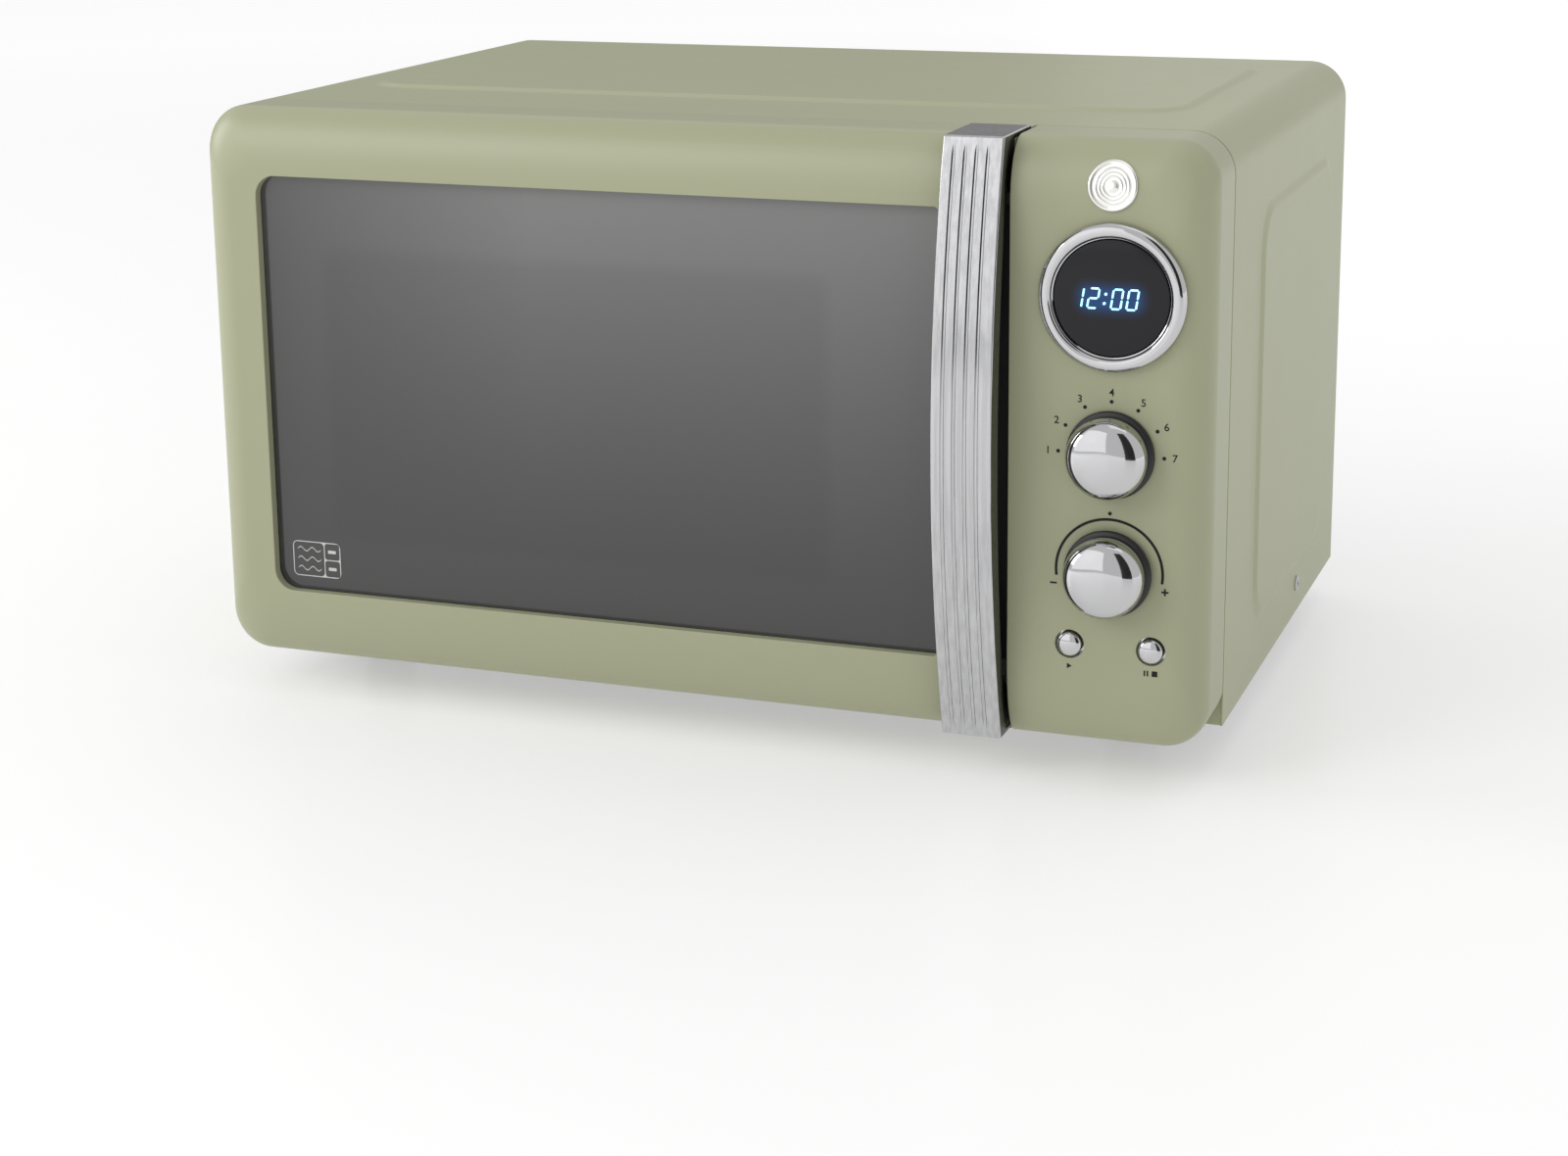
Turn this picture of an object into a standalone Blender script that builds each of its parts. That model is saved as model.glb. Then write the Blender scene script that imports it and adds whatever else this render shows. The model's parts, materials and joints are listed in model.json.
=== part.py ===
"""Countertop microwave oven with a pillow-shaped front, a bow handle and two dials.

Metres, +Z up. The front faces -Y, +X is to the right of someone who faces it, and the origin is
the middle of the bounding box's bottom face, on the surface that the oven stands on.
"""
import math

import bmesh
import bpy
from mathutils import Matrix, Vector

# Overall box: 440 mm wide, 321 mm deep with the handle, 260 mm high with the feet.
WIDTH = 0.440
DEPTH = 0.321
HEIGHT = 0.260
FOOT_HEIGHT = 0.018
EMBOSS = 0.0012  # how far the pressed panels stand out of the cabinet sheet
GAP = 0.0003  # between pieces that touch

# Front
HANDLE_OUT = 0.020
FRONT_Y = -DEPTH / 2 + HANDLE_OUT
BACK_Y = DEPTH / 2
SIDE_X = WIDTH / 2 - EMBOSS
TOP_Z = HEIGHT - EMBOSS
BOTTOM_Z = FOOT_HEIGHT
FASCIA_DEPTH = 0.040
FASCIA_BACK = FRONT_Y + FASCIA_DEPTH
CORNER = 0.017  # radius of the front's outline
SIDE_ROLL = 0.016  # how wide the front rolls back at its sides
TOP_ROLL = 0.024
BOTTOM_ROLL = 0.032
ROLL_DEPTH = 0.016
BOTTOM_ROLL_DEPTH = 0.012
WALL = 0.004  # moulded front wall

# Door and panel split
DOOR_RIGHT = 0.1390
PANEL_LEFT = 0.1400
PANEL_X = 0.1810  # middle of the controls
PIVOT = Vector((-SIDE_X + 0.0065, FASCIA_BACK - 0.0075, 0.0))
PIVOT_CLEAR = 0.0076  # the door's hinge corner stays inside this radius
PIN_R = 0.0025
PIN_HOLE_R = 0.0028

# Window
WINDOW_LOW = (-0.1905, 0.0490)
WINDOW_HIGH = (0.1115, 0.2310)
GLASS = 0.0030
GLASS_Y = FRONT_Y + WALL

# Handle
GRIP_LEFT = 0.1142
GRIP_RIGHT = 0.1388
GRIP_END_OUT = 0.0030
GRIP_LOW = BOTTOM_Z + 0.0003
GRIP_HIGH = HEIGHT - 0.0004
GRIP_END = 0.0225  # length of the solid ends
GRIP_THICK = 0.0070
GRIP_GROOVES = (0.1190, 0.1236, 0.1281, 0.1327)
GROOVE_HALF = 0.0007
GROOVE_DEEP = 0.0009
CAP_BACK = FRONT_Y + 0.0340
BASE_LEFT = 0.1190
SCOOP_Y = FRONT_Y + 0.0120

# Oven cavity and chassis
SHEET = 0.0010
FRAME_FRONT = FASCIA_BACK + 0.0005
FRAME_BACK = FRAME_FRONT + 0.0020
CAVITY_LOW = Vector((-0.2000, FRAME_BACK + GAP, 0.0450))
CAVITY_HIGH = Vector((0.1120, 0.1485, 0.2430))
LINER = 0.0012
CAVITY_ROUND = 0.0100
CABINET_BACK = BACK_Y - 0.0017
PANEL_BACK_Y = CABINET_BACK - SHEET - GAP
REAR_SHEET = 0.0015

# Turntable
TABLE = Vector(((CAVITY_LOW.x + CAVITY_HIGH.x) / 2, 0.0260, CAVITY_LOW.z))
ROLLER_R = 0.0070
ROLLER_PATH = 0.0840
PLATE_R = 0.1150
PLATE_Z = TABLE.z + 2 * ROLLER_R + 2 * GAP

# Controls
DISPLAY_Z = 0.1995
MODE_Z = 0.1378
TIMER_Z = 0.0907
BUTTON_Z = 0.0600
BUTTON_X = (0.1655, 0.1980)
BADGE_X = 0.1800
BADGE_Z = 0.2420
BADGE_R = 0.0098
RING_R = 0.0290
LENS_R = 0.0227
SKIRT_R = 0.0174
KNOB_R = 0.0160
SHAFT_R = 0.0030
TIMER_PUSH = 0.0015
CAP_R = 0.0050
BOARD_Y = FRONT_Y + 0.0135

GREEN = (0.46, 0.49, 0.35)
STEEL = (0.62, 0.62, 0.60)
CHROME = (0.80, 0.80, 0.82)
BLACK = (0.02, 0.02, 0.02)

parts = None
cutters = None


def start():
    """Empties the scene and makes the two collections."""
    global parts, cutters
    for obj in list(bpy.data.objects):
        bpy.data.objects.remove(obj, do_unlink=True)
    parts = bpy.data.collections.new("microwave_oven")
    cutters = bpy.data.collections.new("cutters")
    cutters.hide_render = True
    for collection in (parts, cutters):
        bpy.context.scene.collection.children.link(collection)


def material(name, colour, roughness, metallic, alpha=1.0):
    made = bpy.data.materials.get(name)
    if made:
        return made
    made = bpy.data.materials.new(name)
    made.use_nodes = True
    shader = made.node_tree.nodes["Principled BSDF"]
    shader.inputs["Base Color"].default_value = (*colour, 1.0)
    shader.inputs["Roughness"].default_value = roughness
    shader.inputs["Metallic"].default_value = metallic
    shader.inputs["Alpha"].default_value = alpha
    return made


FINISHES = {
    "green": ("green_enamel", GREEN, 0.35, 0.0),
    "green_plastic": ("green_plastic", GREEN, 0.35, 0.0),
    "steel": ("zinc_steel", STEEL, 0.40, 1.0),
    "cavity": ("cavity_paint", (0.55, 0.56, 0.54), 0.45, 0.0),
    "chrome": ("chrome", CHROME, 0.12, 1.0),
    "black": ("black_plastic", BLACK, 0.40, 0.0),
    "glass": ("dark_glass", (0.10, 0.10, 0.10), 0.05, 0.0, 0.6),
    "clear": ("clear_glass", (0.85, 0.90, 0.90), 0.05, 0.0, 0.4),
    "rubber": ("rubber", (0.03, 0.03, 0.03), 0.80, 0.0),
    "mica": ("mica", (0.60, 0.55, 0.42), 0.60, 0.0),
    "board": ("board", (0.05, 0.22, 0.10), 0.50, 0.0),
    "white": ("white_plastic", (0.80, 0.80, 0.77), 0.45, 0.0),
    "copper": ("iron_and_copper", (0.30, 0.20, 0.15), 0.50, 0.7),
    "badge": ("badge", (0.80, 0.80, 0.70), 0.30, 0.3),
}


def add(name, mesh, finish=None):
    """Puts a mesh in the scene as a part, or as a cutter when it has no finish."""
    obj = bpy.data.objects.new(name, mesh)
    if finish is None:
        cutters.objects.link(obj)
        obj.hide_render = True
        obj.display_type = "WIRE"
        return obj
    parts.objects.link(obj)
    obj.data.materials.append(material(*FINISHES[finish]))
    return obj


def mesh_from(bm, name):
    mesh = bpy.data.meshes.new(name)
    bm.to_mesh(mesh)
    bm.free()
    return mesh


def box(name, low, high, finish=None):
    bm = bmesh.new()
    bmesh.ops.create_cube(bm, size=1.0)
    low, high = Vector(low), Vector(high)
    bmesh.ops.scale(bm, vec=high - low, verts=bm.verts)
    bmesh.ops.translate(bm, vec=(low + high) / 2, verts=bm.verts)
    return add(name, mesh_from(bm, name), finish)


def cylinder(name, start_at, axis, length, radius, finish=None, segments=20, end_radius=None):
    """A cylinder or cone that runs from start_at along a unit axis."""
    bm = bmesh.new()
    end_radius = radius if end_radius is None else end_radius
    bmesh.ops.create_cone(
        bm, cap_ends=True, segments=segments, radius1=radius, radius2=end_radius, depth=length
    )
    axis = Vector(axis)
    turn = Vector((0, 0, 1)).rotation_difference(axis).to_matrix().to_4x4()
    middle = Vector(start_at) + axis * length / 2
    bmesh.ops.transform(bm, matrix=Matrix.Translation(middle) @ turn, verts=bm.verts)
    obj = add(name, mesh_from(bm, name), finish)
    shade_round(obj)
    return obj


def shade_round(obj, angle=35):
    obj.data.shade_smooth()
    obj.data.set_sharp_from_angle(angle=math.radians(angle))


def turned(name, profile, centre, axis, finish=None, steps=24):
    """A profile of (radius, height) points, listed down its outer side, turned about axis."""
    mesh = bpy.data.meshes.new(name)
    points = [(radius, 0.0, height) for radius, height in profile]
    mesh.from_pydata(points, [(i, i + 1) for i in range(len(points) - 1)], [])
    obj = add(name, mesh, finish)
    screw = obj.modifiers.new("turn", "SCREW")
    screw.steps = screw.render_steps = steps
    screw.use_merge_vertices = True
    screw.merge_threshold = 0.00001
    screw.use_smooth_shade = True
    obj.rotation_mode = "QUATERNION"
    obj.rotation_quaternion = Vector((0, 0, 1)).rotation_difference(Vector(axis))
    obj.location = centre
    return obj


def outline(name, points, along, low, high, finish=None):
    """A flat closed outline, extruded from low to high along x, y or z."""
    curve = bpy.data.curves.new(name, "CURVE")
    curve.dimensions = "2D"
    curve.fill_mode = "BOTH"
    curve.extrude = (high - low) / 2
    spline = curve.splines.new("POLY")
    spline.points.add(len(points) - 1)
    for point, (u, v) in zip(spline.points, points):
        point.co = (u, v, 0.0, 1.0)
    spline.use_cyclic_u = True
    guide = bpy.data.objects.new(name + "_outline", curve)
    cutters.objects.link(guide)
    turns = {
        "x": Matrix(((0, 0, 1, 0), (1, 0, 0, 0), (0, 1, 0, 0), (0, 0, 0, 1))),
        "y": Matrix(((1, 0, 0, 0), (0, 0, -1, 0), (0, 1, 0, 0), (0, 0, 0, 1))),
        "z": Matrix.Identity(4),
    }
    middle = (low + high) / 2
    place = Vector((middle, 0, 0)) if along == "x" else Vector((0, middle, 0))
    if along == "z":
        place = Vector((0, 0, middle))
    guide.matrix_world = Matrix.Translation(place) @ turns[along]
    return solid_of_curve(guide, name, finish)


def solid_of_curve(guide, name, finish=None):
    """A mesh of a curve object, with its caps welded to its sides."""
    bpy.context.view_layer.update()
    graph = bpy.context.evaluated_depsgraph_get()
    mesh = bpy.data.meshes.new_from_object(guide.evaluated_get(graph))
    bm = bmesh.new()
    bm.from_mesh(mesh)
    bmesh.ops.remove_doubles(bm, verts=bm.verts, dist=0.000001)
    bmesh.ops.recalc_face_normals(bm, faces=bm.faces)
    bm.to_mesh(mesh)
    bm.free()
    mesh.materials.clear()
    obj = add(name, mesh, finish)
    obj.matrix_world = guide.matrix_world.copy()
    bpy.data.objects.remove(guide, do_unlink=True)
    return obj


def boolean(target, other, operation):
    modifier = target.modifiers.new(other.name, "BOOLEAN")
    modifier.operation = operation
    modifier.object = other
    modifier.solver = "EXACT"


def cut(target, *others):
    for other in others:
        boolean(target, other, "DIFFERENCE")


def join(target, *others):
    for other in others:
        boolean(target, other, "UNION")


def keep(target, other):
    boolean(target, other, "INTERSECT")


def bevel(obj, width, segments=2):
    modifier = obj.modifiers.new("bevel", "BEVEL")
    modifier.width = width
    modifier.segments = segments
    modifier.limit_method = "ANGLE"
    modifier.angle_limit = math.radians(50)
    return modifier


def arc(centre, radius, first, last, steps):
    """Points on an arc, in degrees from the first axis to the second."""
    angles = [math.radians(first + (last - first) * i / steps) for i in range(steps + 1)]
    return [(centre[0] + radius * math.cos(a), centre[1] + radius * math.sin(a)) for a in angles]


def rounded_outline(left, right, low, high, radius, steps=5):
    """A rectangle with round corners, anticlockwise from its lower right corner."""
    corners = ((right - radius, low + radius, -90), (right - radius, high - radius, 0))
    corners += ((left + radius, high - radius, 90), (left + radius, low + radius, 180))
    points = []
    for u, v, turn in corners:
        points += arc((u, v), radius, turn, turn + 90, steps)
    return points


def roll(amount, depth, behind):
    """How far an elliptic edge has drawn in at a distance behind the front plane."""
    if behind >= depth:
        return 0.0
    return amount * (1 - math.sqrt(1 - ((depth - behind) / depth) ** 2))


def pillow(name, grow=0.0, back=FASCIA_BACK, stations=(0.0, 0.0006, 0.0022, 0.0050, 0.0090, 0.0160)):
    """The whole front as one solid: rounded outlines lofted from the front plane to the seam."""
    sections = []
    for behind in (*stations, FASCIA_DEPTH):
        side = roll(SIDE_ROLL, ROLL_DEPTH, behind) - grow
        top = roll(TOP_ROLL, ROLL_DEPTH, behind) - grow
        low = roll(BOTTOM_ROLL, BOTTOM_ROLL_DEPTH, behind) - grow
        points = rounded_outline(
            -SIDE_X + side, SIDE_X - side, BOTTOM_Z + low, TOP_Z - top, CORNER
        )
        y = FRONT_Y + behind - grow if behind < FASCIA_DEPTH else back
        sections.append([(u, y, v) for u, v in points])
    bm = bmesh.new()
    rings = [[bm.verts.new(point) for point in section] for section in sections]
    for near, far in zip(rings, rings[1:]):
        for i in range(len(near)):
            j = (i + 1) % len(near)
            bm.faces.new((near[i], near[j], far[j], far[i]))
    bm.faces.new(rings[0])
    bm.faces.new(rings[-1])
    bmesh.ops.recalc_face_normals(bm, faces=bm.faces)
    return add(name, mesh_from(bm, name))


def part_of(name, other, finish):
    """A part that starts as a copy of a cutter's mesh."""
    obj = add(name, other.data.copy(), finish)
    shade_round(obj, 30)
    return obj


def cabinet():
    """Painted steel wrap: top and two sides in one sheet, with a flange round the back."""
    front = FASCIA_BACK + 0.0007
    profile = [(SIDE_X, BOTTOM_Z)]
    profile += arc((SIDE_X - CORNER, TOP_Z - CORNER), CORNER, 0, 90, 5)
    profile += arc((-SIDE_X + CORNER, TOP_Z - CORNER), CORNER, 90, 180, 5)
    profile += [(-SIDE_X, BOTTOM_Z)]
    wrap = outline("outer_cabinet", profile, "y", front, CABINET_BACK, "green")
    inner = CORNER - SHEET
    hollow = [(SIDE_X - SHEET, 0.0)]
    hollow += arc((SIDE_X - CORNER, TOP_Z - CORNER), inner, 0, 90, 5)
    hollow += arc((-SIDE_X + CORNER, TOP_Z - CORNER), inner, 90, 180, 5)
    hollow += [(-SIDE_X + SHEET, 0.0)]
    cut(wrap, outline("wrap_hollow", hollow, "y", front - 0.01, CABINET_BACK - SHEET))
    flange = 0.012
    through = rounded_outline(-SIDE_X + flange, SIDE_X - flange, -0.02, TOP_Z - flange, 0.010, 3)
    cut(wrap, outline("flange_hole", through, "y", 0.10, BACK_Y + 0.01))
    panels = (
        ("top_press", (0, 0, 1), (0, (FRONT_Y + 0.088 + 0.1245) / 2, TOP_Z), 0.376, 0.177),
        ("left_press", (-1, 0, 0), (-SIDE_X, 0.0405, 0.1315), 0.181, 0.168),
        ("right_press", (1, 0, 0), (SIDE_X, 0.0405, 0.1315), 0.181, 0.168),
    )
    for name, outward, middle, long_side, short_side in panels:
        join(wrap, pressed_panel(name, outward, middle, long_side, short_side))
    cut(wrap, *(screw_hole(i) for i in range(len(SCREWS))))
    return wrap


def pressed_panel(name, outward, middle, long_side, short_side):
    """A raised field with sloping edges, to be joined to a sheet. Its short side runs along Y."""
    bm = bmesh.new()
    bmesh.ops.create_cube(bm, size=1.0)
    root = 0.0005
    bmesh.ops.scale(bm, vec=(long_side, short_side, EMBOSS + root), verts=bm.verts)
    bmesh.ops.translate(bm, vec=(0, 0, (EMBOSS - root) / 2), verts=bm.verts)
    upright = [e for e in bm.edges if abs(e.verts[0].co.z - e.verts[1].co.z) > root]
    bmesh.ops.bevel(bm, geom=upright, offset=0.018, segments=3, profile=0.5, affect="EDGES")
    slope = 0.006
    for vert in bm.verts:
        if vert.co.z > 0:
            vert.co.x *= 1 - slope / long_side
            vert.co.y *= 1 - slope / short_side
    tilt = {(0, 0, 1): 0, (-1, 0, 0): -90, (1, 0, 0): 90}[outward]
    spin = Matrix.Rotation(math.radians(tilt), 4, "Y")
    bmesh.ops.transform(bm, matrix=Matrix.Translation(middle) @ spin, verts=bm.verts)
    return add(name, mesh_from(bm, name))


SCREWS = ((-0.150, TOP_Z - 0.0075), (0.150, TOP_Z - 0.0075), (SIDE_X - 0.0070, 0.070))


def screw_hole(index):
    u, v = SCREWS[index]
    return cylinder(f"screw_hole_{index}", (u, 0.145, v), (0, 1, 0), 0.03, 0.0020, segments=10)


def rear():
    """Rear sheet with air slots, the cord gland and the three screws."""
    low, high = BOTTOM_Z + 0.0022, TOP_Z - SHEET - GAP
    half = SIDE_X - SHEET - GAP
    shape = rounded_outline(-half, half, low, high, CORNER - SHEET - GAP, 4)
    sheet = outline("rear_panel", shape, "y", PANEL_BACK_Y - REAR_SHEET, PANEL_BACK_Y, "steel")
    for column in range(9):
        x = -0.165 + 0.012 * column
        for row in range(2):
            z = 0.165 + 0.026 * row
            slot = box(f"slot_{column}_{row}", (x, 0.14, z), (x + 0.005, 0.17, z + 0.020))
            cut(sheet, slot)
    for bar in range(7):
        z = 0.108 + 0.011 * bar
        cut(sheet, box(f"fan_slot_{bar}", (0.134, 0.14, z), (0.196, 0.17, z + 0.005)))
    cut(sheet, cylinder("gland_hole", (0.170, 0.14, 0.050), (0, 1, 0), 0.03, 0.0075))
    cut(sheet, *(bpy.data.objects[f"screw_hole_{i}"] for i in range(len(SCREWS))))
    length = BACK_Y - PANEL_BACK_Y
    gland = [(0.0040, length), (0.0085, length), (0.0100, GAP), (0.0072, GAP)]
    gland += [(0.0072, -0.0060), (0.0040, -0.0060), (0.0040, length)]
    turned("cable_gland", gland, (0.170, PANEL_BACK_Y, 0.050), (0, 1, 0), "black", 16)
    for index, (u, v) in enumerate(SCREWS):
        head = [(0.0, BACK_Y), (0.0028, BACK_Y), (0.0036, CABINET_BACK + GAP)]
        head += [(0.0017, CABINET_BACK + GAP), (0.0017, 0.1500), (0.0, 0.1500)]
        turned(f"rear_screw_{index + 1}", head, (u, 0, v), (0, 1, 0), "steel", 10)


def base():
    """Tray under the oven, with four feet."""
    half = SIDE_X - SHEET - GAP
    low = (-half, FRAME_BACK + GAP, BOTTOM_Z + 0.0004)
    tray = box("base_plate", low, (half, PANEL_BACK_Y - REAR_SHEET - GAP, 0.0300), "steel")
    lift = 0.0016
    hollow_low = (low[0] + lift, low[1] + lift, low[2] + lift)
    cut(tray, box("tray_hollow", hollow_low, (half - lift, 0.1560 - 0.0035, 0.05)))
    for slot in range(8):
        x = 0.130 + 0.010 * slot
        cut(tray, box(f"tray_slot_{slot}", (x, 0.075, 0.01), (x + 0.005, 0.115, 0.025)))
    foot = [(0.0, FOOT_HEIGHT), (0.0120, FOOT_HEIGHT), (0.0120, 0.0130), (0.0100, 0.0010)]
    foot += [(0.0092, 0.0), (0.0, 0.0)]
    places = (("front_left", -0.175, -0.069), ("front_right", 0.175, -0.069))
    places += (("rear_left", -0.175, 0.120), ("rear_right", 0.175, 0.120))
    for name, x, y in places:
        turned(f"foot_{name}", foot, (x, y, 0), (0, 0, 1), "rubber", 16)


def chassis():
    """Front frame, oven cavity and its mica cover."""
    half = SIDE_X - SHEET - GAP
    shape = rounded_outline(-half, half, BOTTOM_Z + 0.0012, TOP_Z - SHEET - GAP, 0.0155, 4)
    frame = outline("front_frame", shape, "y", FRAME_FRONT, FRAME_BACK, "steel")
    inside = ((CAVITY_LOW.x, CAVITY_HIGH.x), (CAVITY_LOW.z, CAVITY_HIGH.z))
    mouth = rounded_outline(*inside[0], *inside[1], CAVITY_ROUND, 3)
    cut(frame, outline("mouth", mouth, "y", -0.12, -0.08))
    cut(frame, box("wiring_hole", (0.150, -0.12, 0.060), (0.208, -0.08, 0.215)))
    for z in (HOOK_LOW, HOOK_HIGH):
        slot = box(f"hook_slot_{z}", (HOOK_X - 0.0040, -0.12, z - 0.012), (HOOK_X + 0.0050, -0.08, z + 0.013))
        cut(frame, slot)
    for z in HINGE_Z:
        x = PIVOT.x
        cut(frame, box(f"hinge_slot_{z}", (x - 0.0034, -0.12, z - 0.0005), (x + 0.0044, -0.08, z + 0.0025)))
    walls = LINER
    outer = rounded_outline(
        inside[0][0] - walls, inside[0][1] + walls, inside[1][0] - walls, inside[1][1] + walls,
        CAVITY_ROUND + walls, 3,
    )
    liner = outline("cavity_liner", outer, "y", CAVITY_LOW.y, CAVITY_HIGH.y + walls, "cavity")
    room = rounded_outline(*inside[0], *inside[1], CAVITY_ROUND, 3)
    cut(liner, outline("cavity_room", room, "y", -0.12, CAVITY_HIGH.y))
    cut(liner, cylinder("shaft_hole", (TABLE.x, TABLE.y, 0.03), (0, 0, 1), 0.03, 0.0062, segments=12))
    port_low, port_high = (0.10, 0.000, 0.120), (0.13, 0.080, 0.190)
    cut(liner, box("port", port_low, port_high))
    cut(liner, box("lamp_port", (0.10, 0.096, 0.206), (0.13, 0.124, 0.228)))
    mica_x = CAVITY_HIGH.x - 0.0003
    cover = box("waveguide_cover", (mica_x - 0.0007, -0.006, 0.114), (mica_x, 0.086, 0.196), "mica")
    bevel(cover, 0.00025, 1)


HINGE_Z = (0.0400, 0.2350)
HOOK_X = 0.1275
HOOK_LOW = 0.0920
HOOK_HIGH = 0.1840


def hinges():
    """Two brackets welded behind the front frame, each with a pin that the door turns on."""
    for side, z in zip(("lower", "upper"), HINGE_Z):
        x = PIVOT.x
        plate = rounded_tongue(f"{side}_hinge_bracket", x, z)
        flange_low = (x - 0.0034, FRAME_BACK + GAP, z - 0.0085)
        flange = box(f"{side}_flange", flange_low, (x + 0.0095, FRAME_BACK + 0.0018, z + 0.0105))
        join(plate, flange)
        hole = cylinder(f"{side}_pin_hole", (x, PIVOT.y, z - 0.03), (0, 0, 1), 0.06, PIN_HOLE_R, segments=16)
        cut(plate, hole)
        cylinder(f"{side}_hinge_pin", (x, PIVOT.y, z - 0.0100), (0, 0, 1), 0.0220, PIN_R, "steel", 16)


def rounded_tongue(name, x, z):
    """The flat tongue of a hinge bracket: a strip with a round end about the pivot."""
    half = 0.0032
    points = arc((x, PIVOT.y), half + 0.0010, 197, 343, 6)
    points += [(x + half + 0.0008, FRAME_BACK + 0.0010), (x - half, FRAME_BACK + 0.0010)]
    return outline(name, points, "z", z, z + 0.0020, "steel")


def front():
    """The moulded front, cut into the door's frame and the control panel."""
    whole = pillow("pillow")
    door_frame(whole)
    control_panel(whole)


def door_frame(whole):
    frame = part_of("door_frame", whole, "green_plastic")
    cut(frame, box("door_side", (DOOR_RIGHT, -0.2, -0.01), (0.25, 0, 0.3)))
    window = rounded_outline(WINDOW_LOW[0], WINDOW_HIGH[0], WINDOW_LOW[1], WINDOW_HIGH[1], 0.009, 4)
    cut(frame, outline("window", window, "y", -0.2, GLASS_Y + 0.001))
    ledge = 0.0042
    cut(frame, box("glass_seat", (WINDOW_LOW[0] - ledge, GLASS_Y, WINDOW_LOW[1] - 0.0035),
                   (WINDOW_HIGH[0] + 0.0035, GLASS_Y + 0.006, WINDOW_HIGH[1] + 0.0035)))
    cut(frame, box("door_pocket", (-0.2048, GLASS_Y + 0.004, 0.0320), (0.1105, 0, 0.2440)))
    scoop_low, scoop_high = (BASE_LEFT - 0.0005, -0.2, 0.0434), (0.2, SCOOP_Y, 0.2366)
    cut(frame, box("scoop", scoop_low, scoop_high))
    for name, z_from, z_to in (("top", 0.2365, 0.30), ("bottom", -0.01, 0.0435)):
        cut(frame, box(f"grip_seat_{name}", (GRIP_LEFT - 0.0004, -0.2, z_from), (0.2, FRONT_Y + 0.0042, z_to)))
        cut(frame, box(f"base_seat_{name}", (BASE_LEFT - 0.0005, -0.2, z_from), (0.2, SCOOP_Y, z_to)))
    high, low = GRIP_HIGH - 0.0024, GRIP_LOW + 0.0024
    cut(frame, box("cap_seat_top", (GRIP_LEFT - 0.0004, -0.2, high), (0.2, CAP_BACK + 0.0004, 0.3)))
    cut(frame, box("cap_seat_bottom", (GRIP_LEFT - 0.0004, -0.2, -0.01), (0.2, CAP_BACK + 0.0004, low)))
    cut(frame, box("latch_pocket", (0.1215, FRONT_Y + 0.0200, 0.0700), (0.1345, 0, 0.2120)))
    cut(frame, hinge_corner())
    for z in HINGE_Z:
        x, y = PIVOT.x, PIVOT.y
        cut(frame, cylinder(f"door_pin_{z}", (x, y, z - 0.0110), (0, 0, 1), 0.0240, PIN_HOLE_R, segments=16))
        cut(frame, box(f"tongue_slot_{z}", (x - 0.01, y - 0.0060, z - 0.0006), (x + 0.0052, 0, z + 0.0026)))


def hinge_corner():
    """What the door's hinge edge loses so that it turns clear of the front frame."""
    first, last = math.degrees(math.atan2(0.0075, -0.0012)), math.degrees(math.atan2(0.0039, -0.0065))
    points = arc((PIVOT.x, PIVOT.y), PIVOT_CLEAR, first, last, 5)
    x, y = points[-1]
    points += [(x - 0.006, y), (x - 0.006, points[0][1] + 0.006), (points[0][0], points[0][1] + 0.006)]
    return outline("hinge_corner", points, "z", -0.01, 0.30)


def door_fittings():
    """Glass, inner steel panel, choke cover, handle and latch."""
    glass_high = (WINDOW_HIGH[0] + 0.0032, GLASS_Y + GAP + GLASS, WINDOW_HIGH[1] + 0.0031)
    glass = box("door_glass", (WINDOW_LOW[0] - 0.0038, GLASS_Y + GAP, WINDOW_LOW[1] - 0.0031), glass_high, "glass")
    bevel(glass, 0.0006, 1)
    panel_y = GLASS_Y + 0.0075
    box("door_screen", (-0.2044, panel_y, 0.0324), (0.1101, panel_y + 0.0015, 0.2436), "steel")
    choke_y = panel_y + 0.0018
    choke = box("door_choke_cover", (-0.2044, choke_y, 0.0324), (0.1101, FASCIA_BACK - 0.0005, 0.2436), "black")
    view = rounded_outline(-0.1640, 0.0660, 0.0715, 0.2015, 0.006, 3)
    cut(choke, outline("choke_view", view, "y", -0.2, 0.0))
    bevel(choke, 0.0012, 1)
    handle_grip()
    handle_base()
    latch()


def bow(z, depth_at_end, depth_at_middle):
    """Y of a handle arc at a height: a parabola between the ends."""
    middle, half = (GRIP_LOW + GRIP_HIGH) / 2, (GRIP_HIGH - GRIP_LOW) / 2
    share = 1 - ((z - middle) / half) ** 2
    return FRONT_Y - depth_at_end - (depth_at_middle - depth_at_end) * share


def grip_front(z):
    return bow(z, GRIP_END_OUT, HANDLE_OUT)


def handle_grip():
    """Chromed bow with four grooves down its face and a flat cap over each end."""
    steps = 14
    rise = GRIP_HIGH - GRIP_LOW
    heights = [GRIP_LOW + rise * i / steps for i in range(steps + 1)]
    points = [(grip_front(z), z) for z in heights]
    cap = 0.0014
    seat = FRONT_Y + 0.0038
    points += [(CAP_BACK, GRIP_HIGH), (CAP_BACK, GRIP_HIGH - cap - 0.0007), (seat, GRIP_HIGH - cap - 0.0007)]
    high, low = GRIP_HIGH - GRIP_END, GRIP_LOW + GRIP_END
    points += [(seat, high + 0.0006)]
    for i in range(11):
        z = high - (high - low) * i / 10
        share = 1 - ((2 * i - 10) / 10) ** 2
        points += [(FRONT_Y - 0.0006 - 0.0094 * share, z)]
    points += [(seat, low - 0.0006), (seat, GRIP_LOW + cap + 0.0007), (CAP_BACK, GRIP_LOW + cap + 0.0007)]
    points += [(CAP_BACK, GRIP_LOW)]
    grip = outline("handle_grip", points, "x", GRIP_LEFT, GRIP_RIGHT, "chrome")
    groove(grip)
    shade_round(grip, 20)


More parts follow.
